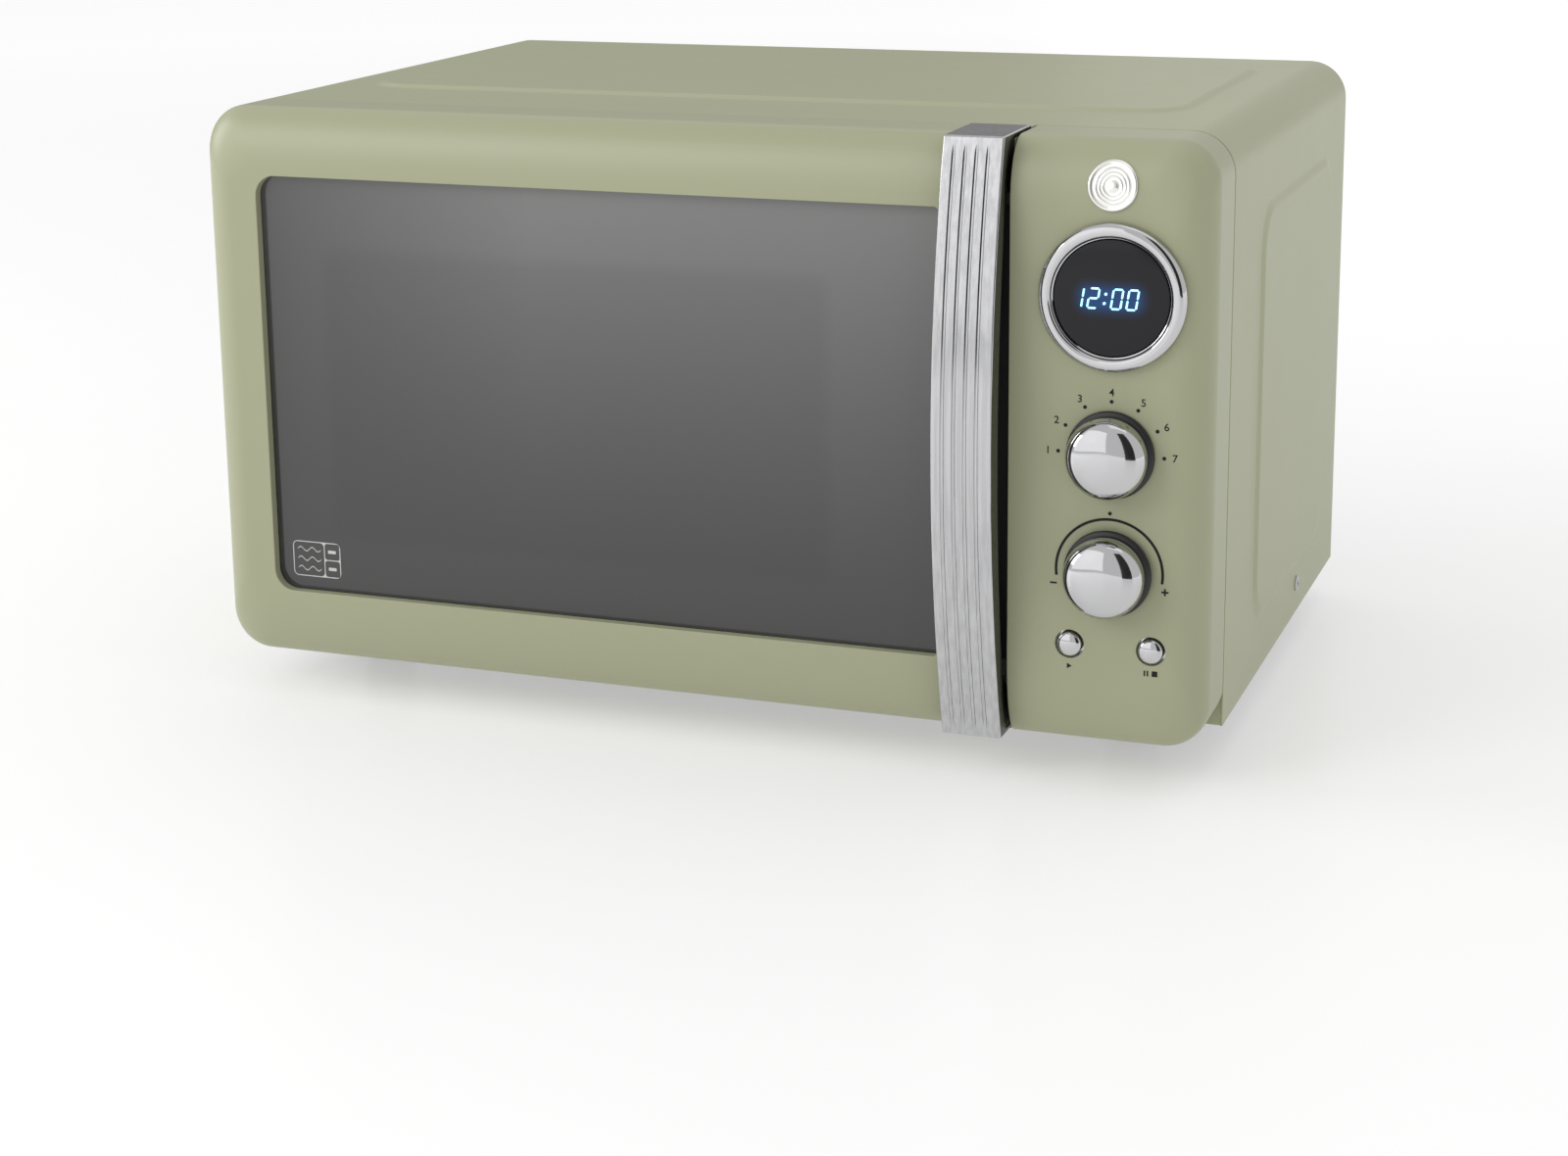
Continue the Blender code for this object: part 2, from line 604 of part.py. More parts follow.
def groove(grip):
    """Cuts the four V grooves by slicing the face along them and pressing the middle line in."""
    bm = bmesh.new()
    bm.from_mesh(grip.data)
    bm.transform(grip.matrix_world)
    grip.matrix_world = Matrix.Identity(4)
    for x in GRIP_GROOVES:
        for offset in (-GROOVE_HALF, 0.0, GROOVE_HALF):
            geom = bm.verts[:] + bm.edges[:] + bm.faces[:]
            bmesh.ops.bisect_plane(bm, geom=geom, dist=1e-7, plane_co=(x + offset, 0, 0), plane_no=(1, 0, 0))
    for vert in bm.verts:
        on_line = any(abs(vert.co.x - x) < 1e-6 for x in GRIP_GROOVES)
        on_face = abs(vert.co.y - grip_front(vert.co.z)) < 1e-5
        inside = GRIP_LOW + 0.002 < vert.co.z < GRIP_HIGH - 0.002
        if on_line and on_face and inside:
            vert.co.y += GROOVE_DEEP
    bm.to_mesh(grip.data)
    bm.free()


def handle_base():
    """Black channel behind the handle: a floor in the finger scoop and a pad under each end."""
    floor = SCOOP_Y - GAP
    face = floor - 0.0025
    pad = FRONT_Y + 0.0041
    top, low = GRIP_HIGH - 0.0024, GRIP_LOW + 0.0024
    points = [(pad, 0.2372), (pad, top), (floor, top), (floor, 0.2330), (floor, low), (pad, low)]
    points += [(pad, 0.0428), (face, 0.0480), (face, 0.2320)]
    outline("handle_base", points, "x", BASE_LEFT, DOOR_RIGHT - 0.0004, "black")


def latch():
    """Sliding latch bar with two hooks that reach into the oven, and its return spring."""
    front_y, back_y = FRONT_Y + 0.0210, FRONT_Y + 0.0290
    tip = FRAME_BACK + 0.0120
    points = [(front_y, 0.0780), (front_y, 0.1960), (back_y, 0.1960)]
    for z in (HOOK_HIGH, HOOK_LOW):
        points += [(back_y, z + 0.0060), (tip, z + 0.0060), (tip + 0.0030, z + 0.0010)]
        points += [(tip, z - 0.0070), (tip - 0.0050, z - 0.0070), (tip - 0.0050, z - 0.0010)]
        points += [(back_y, z - 0.0010)]
    points += [(back_y, 0.0780)]
    outline("latch_hooks", points, "x", HOOK_X - 0.0020, HOOK_X + 0.0020, "white")
    coil("latch_spring", (HOOK_X, FRONT_Y + 0.0250, 0.1966), (0, 0, 1), 0.0145, 0.0024, 0.0004, 5)


def coil(name, start_at, axis, length, radius, wire, turns):
    """A compression spring: a wire along a helix."""
    curve = bpy.data.curves.new(name, "CURVE")
    curve.dimensions = "3D"
    curve.bevel_depth = wire
    curve.bevel_resolution = 1
    curve.use_fill_caps = True
    per_turn = 9
    count = turns * per_turn + 1
    spline = curve.splines.new("POLY")
    spline.points.add(count - 1)
    turn = Vector((0, 0, 1)).rotation_difference(Vector(axis)).to_matrix()
    for i, point in enumerate(spline.points):
        angle = 2 * math.pi * i / per_turn
        along = wire + (length - 2 * wire) * i / (count - 1)
        place = Vector((radius * math.cos(angle), radius * math.sin(angle), along))
        point.co = (*(Vector(start_at) + turn @ place), 1.0)
    guide = bpy.data.objects.new(name + "_path", curve)
    cutters.objects.link(guide)
    spring = solid_of_curve(guide, name, "steel")
    spring.data.shade_smooth()


def control_panel(whole):
    panel = part_of("control_panel", whole, "green_plastic")
    cut(panel, box("panel_side", (-0.25, -0.2, -0.01), (PANEL_LEFT, 0, 0.3)))
    cut(panel, box("panel_pocket", (0.1430, GLASS_Y, 0.0320), (0.2070, 0, 0.2440)))
    bores = (("display", PANEL_X, DISPLAY_Z, 0.0232, 28), ("mode", PANEL_X, MODE_Z, 0.0040, 12))
    bores += (("timer", PANEL_X, TIMER_Z, 0.0040, 12),)
    bores += (("start", BUTTON_X[0], BUTTON_Z, 0.0058, 16), ("stop", BUTTON_X[1], BUTTON_Z, 0.0058, 16))
    for name, x, z, radius, segments in bores:
        cut(panel, cylinder(f"{name}_bore", (x, -0.2, z), (0, 1, 0), 0.07, radius, segments=segments))


def display():
    """Chromed ring, smoked lens and the clock module behind it."""
    ring = [(0.0255, 0.0048), (0.0275, 0.0040), (0.0288, 0.0020), (RING_R, GAP), (0.0230, GAP)]
    ring += [(0.0230, 0.0030), (0.0236, 0.0042), (0.0255, 0.0048)]
    place = (PANEL_X, FRONT_Y, DISPLAY_Z)
    turned("display_ring", ring, place, (0, -1, 0), "chrome", 32)
    lens = [(0.0, 0.0052), (0.0200, 0.0050), (LENS_R, 0.0038), (LENS_R, -0.0036), (0.0, -0.0036)]
    turned("display_lens", lens, place, (0, -1, 0), "glass", 32)
    low = (PANEL_X - 0.0220, GLASS_Y + GAP, DISPLAY_Z - 0.0220)
    module = box("display_module", low, (PANEL_X + 0.0220, GLASS_Y + 0.0080, DISPLAY_Z + 0.0220), "black")
    bevel(module, 0.0010, 1)


def badge():
    """A thin blank disc that follows the curve of the panel's top."""
    disc = cylinder("badge", (BADGE_X, FRONT_Y - 0.01, BADGE_Z), (0, 1, 0), 0.03, BADGE_R, "badge", 24)
    keep(disc, pillow("badge_face", 0.0012))
    cut(disc, pillow("badge_seat", 0.0003))


def knob(prefix, z, lift, push=0.0):
    """Chromed dome over a black skirt, which can slide in on its shaft by the push travel."""
    axis = bpy.data.objects.new(f"{prefix}_axis", None)
    parts.objects.link(axis)
    axis.location = (PANEL_X, FRONT_Y, z)
    skirt = [(0.0155, lift + 0.0026), (SKIRT_R - 0.0006, lift + 0.0022), (SKIRT_R, lift + 0.0014)]
    skirt += [(SKIRT_R, lift), (0.0038, lift), (0.0038, lift + 0.0026), (0.0155, lift + 0.0026)]
    dome = [(0.0, 0.0168), (0.0060, 0.0163), (0.0105, 0.0150), (0.0136, 0.0129), (0.0155, 0.0101)]
    dome += [(KNOB_R, 0.0074), (KNOB_R, 0.0030), (0.0033, 0.0030), (0.0033, 0.0102), (0.0, 0.0102)]
    dome = [(radius, height + lift) for radius, height in dome]
    tip = 0.0097 + lift - push
    shaft = [(0.0, tip), (SHAFT_R, tip), (SHAFT_R, -0.0105), (0.0, -0.0105)]
    pieces = (("skirt", skirt, "black", 28), ("", dome, "chrome", 28), ("shaft", shaft, "steel", 12))
    for suffix, profile, finish, steps in pieces:
        name = f"{prefix}_knob_{suffix}".rstrip("_")
        piece = turned(name, profile, (0, 0, 0), (0, -1, 0), finish, steps)
        piece.parent = axis
    body = box(
        f"{prefix}_encoder", (PANEL_X - 0.0065, GLASS_Y + GAP, z - 0.0065),
        (PANEL_X + 0.0065, BOARD_Y - GAP, z + 0.0065), "white",
    )
    hollow = cylinder(f"{prefix}_encoder_bore", (PANEL_X, -0.2, z), (0, 1, 0), 0.0720, 0.0034, segments=12)
    cut(body, hollow)


def buttons():
    """Two push buttons with domed chrome caps."""
    for name, x in zip(("start", "stop"), BUTTON_X):
        cap = [(0.0, 0.0024), (0.0022, 0.0021), (0.0040, 0.0013), (CAP_R, 0.0), (CAP_R, -0.0044)]
        cap += [(0.0072, -0.0044), (0.0072, -0.0056), (0.0018, -0.0056), (0.0018, -0.0118), (0.0, -0.0118)]
        turned(f"{name}_button", cap, (x, FRONT_Y, BUTTON_Z), (0, -1, 0), "chrome", 20)


def electronics():
    """Boards and high-voltage parts in the space to the right of the cavity."""
    board = box("control_board", (0.1460, BOARD_Y, 0.0400), (0.2040, BOARD_Y + 0.0016, 0.1560), "board")
    bevel(board, 0.0003, 1)
    transformer()
    magnetron()
    can_low, can_high = (0.1250, 0.0160, 0.0215), (0.1850, 0.0520, 0.0950)
    can = box("hv_capacitor", can_low, can_high, "steel")
    bevel(can, 0.0060, 2)
    duct_low, duct_high = (CAVITY_HIGH.x + LINER + GAP, -0.004, 0.112), (0.1345, 0.084, 0.198)
    duct = box("waveguide_duct", duct_low, duct_high, "steel")
    cut(duct, box("duct_room", (0.10, 0.000, 0.116), (0.1330, 0.080, 0.194)))
    cut(duct, cylinder("antenna_hole", (0.120, 0.040, 0.155), (1, 0, 0), 0.03, 0.0110, segments=14))
    lamp = [(0.0, 0.0), (0.0040, 0.0006), (0.0066, 0.0040), (0.0066, 0.0090), (0.0042, 0.0130)]
    lamp += [(0.0042, 0.0190), (0.0, 0.0190)]
    lamp = [(radius, -height) for radius, height in lamp]
    turned("cavity_lamp", lamp, (CAVITY_HIGH.x + 0.0020, 0.110, 0.217), (-1, 0, 0), "clear", 14)


def transformer():
    """Laminated core standing on the tray, with its winding round the middle limb."""
    core = box("hv_transformer", (0.1375, -0.0760, 0.0205), (0.2095, -0.0120, 0.0900), "copper")
    for name, low, high in (("front", -0.0850, -0.0740), ("back", -0.0140, -0.0030)):
        join(core, box(f"winding_{name}", (0.1480, low, 0.0330), (0.1990, high, 0.0780)))
    bevel(core, 0.0012, 1)


def magnetron():
    """Yoke with cooling fins and the antenna that reaches into the waveguide."""
    yoke = box("magnetron", (0.1350, 0.0000, 0.1150), (0.2060, 0.0800, 0.1950), "steel")
    cut(yoke, box("yoke_room", (0.1470, -0.01, 0.1220), (0.1940, 0.09, 0.1880)))
    join(yoke, cylinder("anode", (0.1360, 0.040, 0.155), (1, 0, 0), 0.0700, 0.0180, segments=16))
    join(yoke, cylinder("antenna", (0.1190, 0.040, 0.155), (1, 0, 0), 0.0250, 0.0085, segments=14))
    for fin in range(5):
        x = 0.1520 + 0.0085 * fin
        join(yoke, box(f"fin_{fin}", (x, 0.006, 0.1215), (x + 0.0020, 0.074, 0.1885)))


FAN = Vector((0.1660, 0.0, 0.1430))


def fan():
    """Cooling fan on the rear panel: shroud, motor on a bridge, and impeller."""
    back = PANEL_BACK_Y - REAR_SHEET - GAP
    shroud = box("fan_shroud", (0.1190, 0.1330, 0.0960), (0.2130, back, 0.1900), "white")
    cut(shroud, cylinder("fan_bore", (FAN.x, 0.1354, FAN.z), (0, 1, 0), 0.03, 0.0430, segments=28))
    cut(shroud, cylinder("fan_mouth", (FAN.x, 0.12, FAN.z), (0, 1, 0), 0.03, 0.0380, segments=28))
    join(shroud, box("fan_bridge", (0.1210, 0.1330, FAN.z - 0.0060), (0.2110, 0.1360, FAN.z + 0.0060)))
    cut(shroud, cylinder("bridge_hole", (FAN.x, 0.12, FAN.z), (0, 1, 0), 0.02, 0.0034, segments=12))
    motor = cylinder("fan_motor", (FAN.x, 0.1080, FAN.z), (0, 1, 0), 0.0247, 0.0180, "copper", 18)
    join(motor, cylinder("fan_spindle", (FAN.x, 0.1300, FAN.z), (0, 1, 0), 0.0110, 0.0015, segments=10))
    hub = cylinder("fan_impeller", (FAN.x, 0.1380, FAN.z), (0, 1, 0), 0.0140, 0.0130, "white", 20)
    for blade in range(5):
        join(hub, fan_blade(blade))
    cut(hub, cylinder("hub_bore", (FAN.x, 0.1370, FAN.z), (0, 1, 0), 0.0100, 0.0018, segments=10))


def fan_blade(index):
    bm = bmesh.new()
    bmesh.ops.create_cube(bm, size=1.0)
    bmesh.ops.scale(bm, vec=(0.0260, 0.0014, 0.0170), verts=bm.verts)
    bmesh.ops.rotate(bm, matrix=Matrix.Rotation(math.radians(38), 3, "X"), verts=bm.verts)
    bmesh.ops.translate(bm, vec=(0.0250, 0, 0), verts=bm.verts)
    spin = Matrix.Rotation(math.radians(72 * index), 4, "Y")
    place = Matrix.Translation((FAN.x, 0.1450, FAN.z)) @ spin
    bmesh.ops.transform(bm, matrix=place, verts=bm.verts)
    return add(f"blade_{index}", mesh_from(bm, f"blade_{index}"))


def door_switches():
    """Bracket behind the latch slots and the two interlock switches on it."""
    x = HOOK_X
    back = FRAME_BACK + GAP
    bracket = box("switch_bracket", (x + 0.0060, back, 0.0740), (x + 0.0080, -0.0660, 0.2020), "white")
    for index, z in enumerate((HOOK_LOW, HOOK_HIGH)):
        shelf_low, shelf_high = (x - 0.0070, -0.0830, z - 0.0125), (x + 0.0070, -0.0665, z - 0.0105)
        join(bracket, box(f"shelf_{index}", shelf_low, shelf_high))
    for name, z in (("lower", HOOK_LOW), ("upper", HOOK_HIGH)):
        low = (x - 0.0040, -0.0800, z - 0.0100)
        switch = box(f"door_switch_{name}", low, (x + 0.0054, -0.0680, z + 0.0100), "black")
        join(switch, box(f"plunger_{name}", (x - 0.0015, -0.0820, z - 0.0010), (x + 0.0015, -0.0790, z + 0.0020)))


def turntable():
    """Motor, coupler, roller ring with three wheels, and the glass plate."""
    centre = (TABLE.x, TABLE.y)
    cylinder("turntable_motor", (*centre, 0.0206), (0, 0, 1), 0.0190, 0.0245, "steel", 24)
    hub = cylinder("drive_coupler", (*centre, 0.0402), (0, 0, 1), 0.0160, 0.0045, "white", 12)
    top = PLATE_Z - GAP
    for arm in range(3):
        bm = bmesh.new()
        bmesh.ops.create_cube(bm, size=1.0)
        bmesh.ops.scale(bm, vec=(0.0130, 0.0060, 0.0060), verts=bm.verts)
        bmesh.ops.translate(bm, vec=(0.0065, 0, top - 0.0030), verts=bm.verts)
        place = Matrix.Translation((*centre, 0)) @ Matrix.Rotation(math.radians(120 * arm), 4, "Z")
        bmesh.ops.transform(bm, matrix=place, verts=bm.verts)
        join(hub, add(f"arm_{arm}", mesh_from(bm, f"arm_{arm}")))
    axle_z = TABLE.z + GAP + ROLLER_R
    ring = [(0.0760, axle_z + 0.0022), (0.0780, axle_z + 0.0014), (0.0780, axle_z - 0.0022)]
    ring += [(0.0700, axle_z - 0.0022), (0.0700, axle_z + 0.0014), (0.0720, axle_z + 0.0022)]
    ring += [(0.0760, axle_z + 0.0022)]
    support = turned("roller_ring", ring, (*centre, 0), (0, 0, 1), "white", 36)
    for wheel in range(3):
        angle = math.radians(90 + 120 * wheel)
        out = Vector((math.cos(angle), math.sin(angle), 0))
        origin = Vector((*centre, axle_z))
        axle = cylinder(f"axle_{wheel}", origin + out * 0.0765, out, 0.0125, 0.0014, segments=10)
        join(support, axle)
        tread = [(0.0018, 0.0028), (0.0060, 0.0028), (ROLLER_R, 0.0018), (ROLLER_R, -0.0018)]
        tread += [(0.0060, -0.0028), (0.0018, -0.0028), (0.0018, 0.0028)]
        turned(f"roller_{wheel + 1}", tread, origin + out * ROLLER_PATH, tuple(out), "white", 20)
    plate = [(0.0, 0.0040), (0.0940, 0.0040), (0.1040, 0.0070), (PLATE_R - 0.0020, 0.0135)]
    plate += [(PLATE_R, 0.0125), (0.1070, 0.0045), (0.0970, 0.0), (0.0, 0.0)]
    turned("turntable_plate", plate, (*centre, PLATE_Z), (0, 0, 1), "clear", 40)


def build():
    start()
    cabinet()
    rear()
    base()
    chassis()
    hinges()
    front()
    door_fittings()
    display()
    badge()
    knob("mode", MODE_Z, GAP)
    knob("timer", TIMER_Z, 0.0020, TIMER_PUSH + 0.0002)
    buttons()
    electronics()
    fan()
    door_switches()
    turntable()


build()
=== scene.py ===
"""A worktop microwave oven with a soft moulded front: its visible pieces, finishes and stage.

Metres, +Z up, the front faces -Y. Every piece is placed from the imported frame's own boxes.
"""

import contextlib
import json
import math

import bmesh
import bpy
from bpy.props import FloatProperty, FloatVectorProperty, IntProperty, PointerProperty
from mathutils import Matrix, Vector


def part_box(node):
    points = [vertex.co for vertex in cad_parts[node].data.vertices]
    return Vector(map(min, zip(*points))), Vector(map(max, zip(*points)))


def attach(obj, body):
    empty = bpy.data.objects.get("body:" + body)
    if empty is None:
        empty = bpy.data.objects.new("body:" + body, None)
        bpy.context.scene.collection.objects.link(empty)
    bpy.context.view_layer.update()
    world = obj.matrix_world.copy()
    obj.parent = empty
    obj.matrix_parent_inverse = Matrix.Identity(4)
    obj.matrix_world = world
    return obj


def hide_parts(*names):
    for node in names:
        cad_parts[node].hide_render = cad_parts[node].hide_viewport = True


bl_info = {
    "name": "Worktop Microwave Oven",
    "version": (1, 0, 0),
    "blender": (4, 5, 0),
    "location": "View3D > Sidebar > Oven",
    "description": "Models and finishes the pieces of a worktop microwave oven",
    "category": "Object",
}

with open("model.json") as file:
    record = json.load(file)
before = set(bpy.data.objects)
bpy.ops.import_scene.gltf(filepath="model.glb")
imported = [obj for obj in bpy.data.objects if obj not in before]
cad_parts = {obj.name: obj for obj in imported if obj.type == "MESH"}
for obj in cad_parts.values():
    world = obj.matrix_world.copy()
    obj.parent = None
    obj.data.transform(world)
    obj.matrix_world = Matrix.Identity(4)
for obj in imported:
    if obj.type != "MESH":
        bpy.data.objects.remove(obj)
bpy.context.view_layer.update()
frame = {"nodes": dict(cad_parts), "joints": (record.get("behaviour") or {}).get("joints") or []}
NODES = frame["nodes"]

FRONT_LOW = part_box("door_frame")[0]
FRONT_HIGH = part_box("control_panel")[1]
DOOR_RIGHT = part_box("door_frame")[1].x
PANEL_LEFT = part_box("control_panel")[0].x
FRONT_Y = FRONT_LOW.y
SEAM_Y = FRONT_HIGH.y
SIDE_X = FRONT_HIGH.x
TOP_Z = FRONT_HIGH.z
BOTTOM_Z = FRONT_LOW.z

FACINGS = {
    "-Y": ((math.pi / 2, 0.0, 0.0), Vector((0, -1, 0))),
    "+Y": ((-math.pi / 2, 0.0, 0.0), Vector((0, 1, 0))),
    "+Z": ((0.0, 0.0, 0.0), Vector((0, 0, 1))),
    "-Z": ((math.pi, 0.0, 0.0), Vector((0, 0, -1))),
    "+X": ((math.pi / 2, 0.0, math.pi / 2), Vector((1, 0, 0))),
    "-X": ((math.pi / 2, 0.0, -math.pi / 2), Vector((-1, 0, 0))),
}
MM = 0.001
SMOOTH = 32
SEAM_BEVEL = 0.0008
ON_PLANE = 1e-5
WRAP_SHEET = 1.0 * MM
REAR_FLANGE = 12 * MM
PRINT_LIFT = 0.00003
PRINT_THICKNESS = 0.0001
DOT_RADIUS = 0.00078
DIAL_MARKS = 7
DIAL_STEP = 30


# Sizes and colours that a user would change


def length_setting(name, description, default):
    return FloatProperty(name=name, description=description, default=default, unit="LENGTH")


def colour_setting(name, description, default):
    return FloatVectorProperty(name=name, description=description, default=default, subtype="COLOR")


class OvenSizes(bpy.types.PropertyGroup):
    """Sizes of the moulded front and its trim."""

    corner: length_setting("Corner", "Radius of the front's outline", 0.017)
    side_roll: length_setting("Side roll", "Width of the rounded sides", 0.016)
    top_roll: length_setting("Top roll", "Height of the rounded top", 0.024)
    low_roll: length_setting("Bottom roll", "Height of the rounded bottom", 0.032)
    roll_depth: length_setting("Roll depth", "Depth of the top and sides", 0.016)
    low_depth: length_setting("Bottom depth", "Depth of the bottom roll", 0.012)
    roll_steps: IntProperty(name="Roll steps", description="Rings in the rounded edge", default=18)
    lip: length_setting("Window lip", "Rounding of the window's edge", 0.0012)
    groove: length_setting("Groove", "Radius of the handle's grooves", 0.0009)
    pitch: length_setting("Screen pitch", "Distance between screen holes", 0.0022)


class OvenColours(bpy.types.PropertyGroup):
    """Colours of the main finishes, linear."""

    enamel: colour_setting("Enamel", "Wrap", (0.368, 0.383, 0.245))
    plastic: colour_setting("Plastic", "Front", (0.350, 0.363, 0.234))
    # Ends of the painted reflection on the smoked glass: lighter at the top, darker at the bottom.
    glass_top: colour_setting("Glass top", "Smoked glass, top", (0.176, 0.176, 0.176))
    glass_low: colour_setting("Glass bottom", "Smoked glass, bottom", (0.037, 0.037, 0.037))
    chrome: colour_setting("Chrome", "Mirror trim", (0.56, 0.56, 0.57))
    digits: colour_setting("Digits", "Clock digits", (0.35, 0.80, 1.0))
    floor: colour_setting("Floor", "Stage floor", (0.62, 0.62, 0.62))


def sizes():
    return bpy.context.scene.oven_sizes


def colours():
    return bpy.context.scene.oven_colours


# Modelling helpers


def select_only(obj):
    bpy.ops.object.select_all(action="DESELECT")
    obj.select_set(True)
    bpy.context.view_layer.objects.active = obj


def adopt(name):
    """Names what an operator has just added and puts its place in its mesh."""
    obj = bpy.context.active_object
    obj.name = name
    obj.data.name = name
    bpy.ops.object.transform_apply(location=True, rotation=True, scale=True)
    return obj


@contextlib.contextmanager
def editing(obj, kind="VERT", everything=False):
    """Edit mode on one object; it starts with all or nothing selected."""
    select_only(obj)
    bpy.ops.object.mode_set(mode="EDIT")
    bpy.ops.mesh.select_mode(type=kind)
    bpy.ops.mesh.select_all(action="SELECT" if everything else "DESELECT")
    yield bmesh.from_edit_mesh(obj.data)
    bpy.ops.object.mode_set(mode="OBJECT")


def plate(name, wide, high, centre, facing, radius=0.0, segments=8, corners=None):
    """A flat rectangle that faces an axis, with all corners rounded or only those that a test picks."""
    bpy.ops.object.select_all(action="DESELECT")
    bpy.ops.mesh.primitive_plane_add(size=1.0, location=centre, rotation=FACINGS[facing][0])
    bpy.context.active_object.scale = (wide, high, 1.0)
    obj = adopt(name)
    if radius:
        with editing(obj) as bm:
            for vert in bm.verts:
                vert.select_set(corners is None or corners(vert.co))
            bm.select_flush_mode()
            bpy.ops.mesh.bevel(offset=radius, segments=segments, affect="VERTICES")
    return obj


def push(step, scale=None, centre=(0, 0, 0)):
    """Extrudes what is selected, then scales the new end about a point."""
    bpy.ops.mesh.extrude_region_move(TRANSFORM_OT_translate={"value": step})
    if scale is not None:
        bpy.ops.transform.resize(value=scale, center_override=centre)


def seal(obj, weld=1e-6):
    """Merges doubled points and turns every face outwards."""
    with editing(obj, everything=True):
        bpy.ops.mesh.remove_doubles(threshold=weld)
        bpy.ops.mesh.normals_make_consistent(inside=False)
    return obj


def block(name, low, high, radius=0.0, facing="-Y", segments=8, corners=None):
    """A box between two corners, with the edges along its facing axis rounded."""
    low, high = Vector(low), Vector(high)
    size, middle = high - low, (high + low) / 2
    normal = FACINGS[facing][1]
    axis = max(range(3), key=lambda i: abs(normal[i]))
    flat = [size[i] for i in range(3) if i != axis]
    start_at = middle - normal * size[axis] / 2
    obj = plate(name, flat[0], flat[1], start_at, facing, radius, segments, corners)
    with editing(obj, everything=True):
        push(normal * size[axis])
    return seal(obj)


def turned(name, profile, centre, facing="-Y", segments=96, hollow=False):
    """Rings of (radius, height) stacked along an axis. A hollow profile comes back to its first ring."""
    turn, normal = FACINGS[facing]
    radius, height = profile[0]
    bpy.ops.object.select_all(action="DESELECT")
    fill = "NOTHING" if hollow else "NGON"
    start_at = Vector(centre) + normal * height
    bpy.ops.mesh.primitive_circle_add(
        vertices=segments, radius=radius, fill_type=fill, location=start_at, rotation=turn
    )
    obj = adopt(name)
    with editing(obj, everything=True):
        for next_radius, next_height in profile[1:]:
            here = Vector(centre) + normal * next_height
            if next_radius:
                share = next_radius / radius
                scale = tuple(1.0 if abs(n) else share for n in normal)
                push(normal * (next_height - height), scale, here)
            else:
                push(normal * (next_height - height))
                bpy.ops.mesh.merge(type="CENTER")
            radius, height = next_radius, next_height
    return seal(obj)


def outline_solid(name, outlines, facing, start_at, thickness, bevel=0.0):
    """Flat outlines of (u, v) points, filled and given a thickness along an axis."""
    curve = bpy.data.curves.new(name, "CURVE")
    curve.dimensions = "2D"
    curve.fill_mode = "BOTH"
    curve.extrude = thickness / 2
    curve.bevel_depth = bevel
    for points in outlines:
        spline = curve.splines.new("POLY")
        spline.points.add(len(points) - 1)
        for point, (u, v) in zip(spline.points, points):
            point.co = (u, v, 0.0, 1.0)
        spline.use_cyclic_u = True
    obj = bpy.data.objects.new(name, curve)
    bpy.context.scene.collection.objects.link(obj)
    turn, normal = FACINGS[facing]
    obj.rotation_euler = turn
    obj.location = normal * (start_at + thickness / 2)
    select_only(obj)
    bpy.ops.object.convert(target="MESH")
    return seal(adopt(name))


def tube(name, points, radius):
    """A round bar through points, with closed ends."""
    curve = bpy.data.curves.new(name, "CURVE")
    curve.dimensions = "3D"
    curve.bevel_depth = radius
    curve.bevel_resolution = 3
    curve.use_fill_caps = True
    spline = curve.splines.new("POLY")
    spline.points.add(len(points) - 1)
    for point, along in zip(spline.points, points):
        point.co = (*along, 1.0)
    obj = bpy.data.objects.new(name, curve)
    bpy.context.scene.collection.objects.link(obj)
    select_only(obj)
    bpy.ops.object.convert(target="MESH")
    return seal(adopt(name))


def carve(obj, *others, operation="DIFFERENCE"):
    """Cuts other solids from an object, or joins them to it, and removes them."""
    for other in others:
        select_only(obj)
        bpy.ops.object.modifier_add(type="BOOLEAN")
        modifier = obj.modifiers[-1]
        modifier.operation = operation
        modifier.solver = "EXACT"
        modifier.object = other
        bpy.ops.object.modifier_apply(modifier=modifier.name)
        bpy.data.objects.remove(other, do_unlink=True)
    return obj


def round_edges(obj, test, width, segments=3, angle=40):
    """Bevels the sharp edges whose two ends both pass a test."""
    with editing(obj, "EDGE") as bm:
        for edge in bm.edges:
            sharp = len(edge.link_faces) == 2 and edge.calc_face_angle(0.0) > math.radians(angle)
            edge.select_set(sharp and all(test(vert.co) for vert in edge.verts))
        bpy.ops.mesh.bevel(offset=width, segments=segments, affect="EDGES", clamp_overlap=True)
    return obj


def smooth(obj, angle=SMOOTH, weighted=True):
    """Smooth shading that keeps edges sharper than an angle."""
    select_only(obj)
    bpy.ops.object.shade_smooth_by_angle(angle=math.radians(angle))
    if weighted:
        bpy.ops.object.modifier_add(type="WEIGHTED_NORMAL")
        modifier = obj.modifiers[-1]
        modifier.keep_sharp = True
        bpy.ops.object.modifier_apply(modifier=modifier.name)
    return obj


def copy_of(obj, name):
    made = obj.copy()
    made.data = obj.data.copy()
    made.name = made.data.name = name
    bpy.context.scene.collection.objects.link(made)
    return made


def bisect(obj, point, normal, keep_inner=True):
    """Keeps what lies on one side of a plane and closes the cut."""
    with editing(obj, "FACE", everything=True):
        bpy.ops.mesh.bisect(
            plane_co=point, plane_no=normal, use_fill=True, clear_outer=keep_inner, clear_inner=not keep_inner
        )
    return obj


def arc(centre, radius, first, last, steps):
    """Points on an arc, in degrees, anticlockwise from +u."""
    angles = [math.radians(first + (last - first) * i / steps) for i in range(steps + 1)]
    return [(centre[0] + radius * math.cos(a), centre[1] + radius * math.sin(a)) for a in angles]


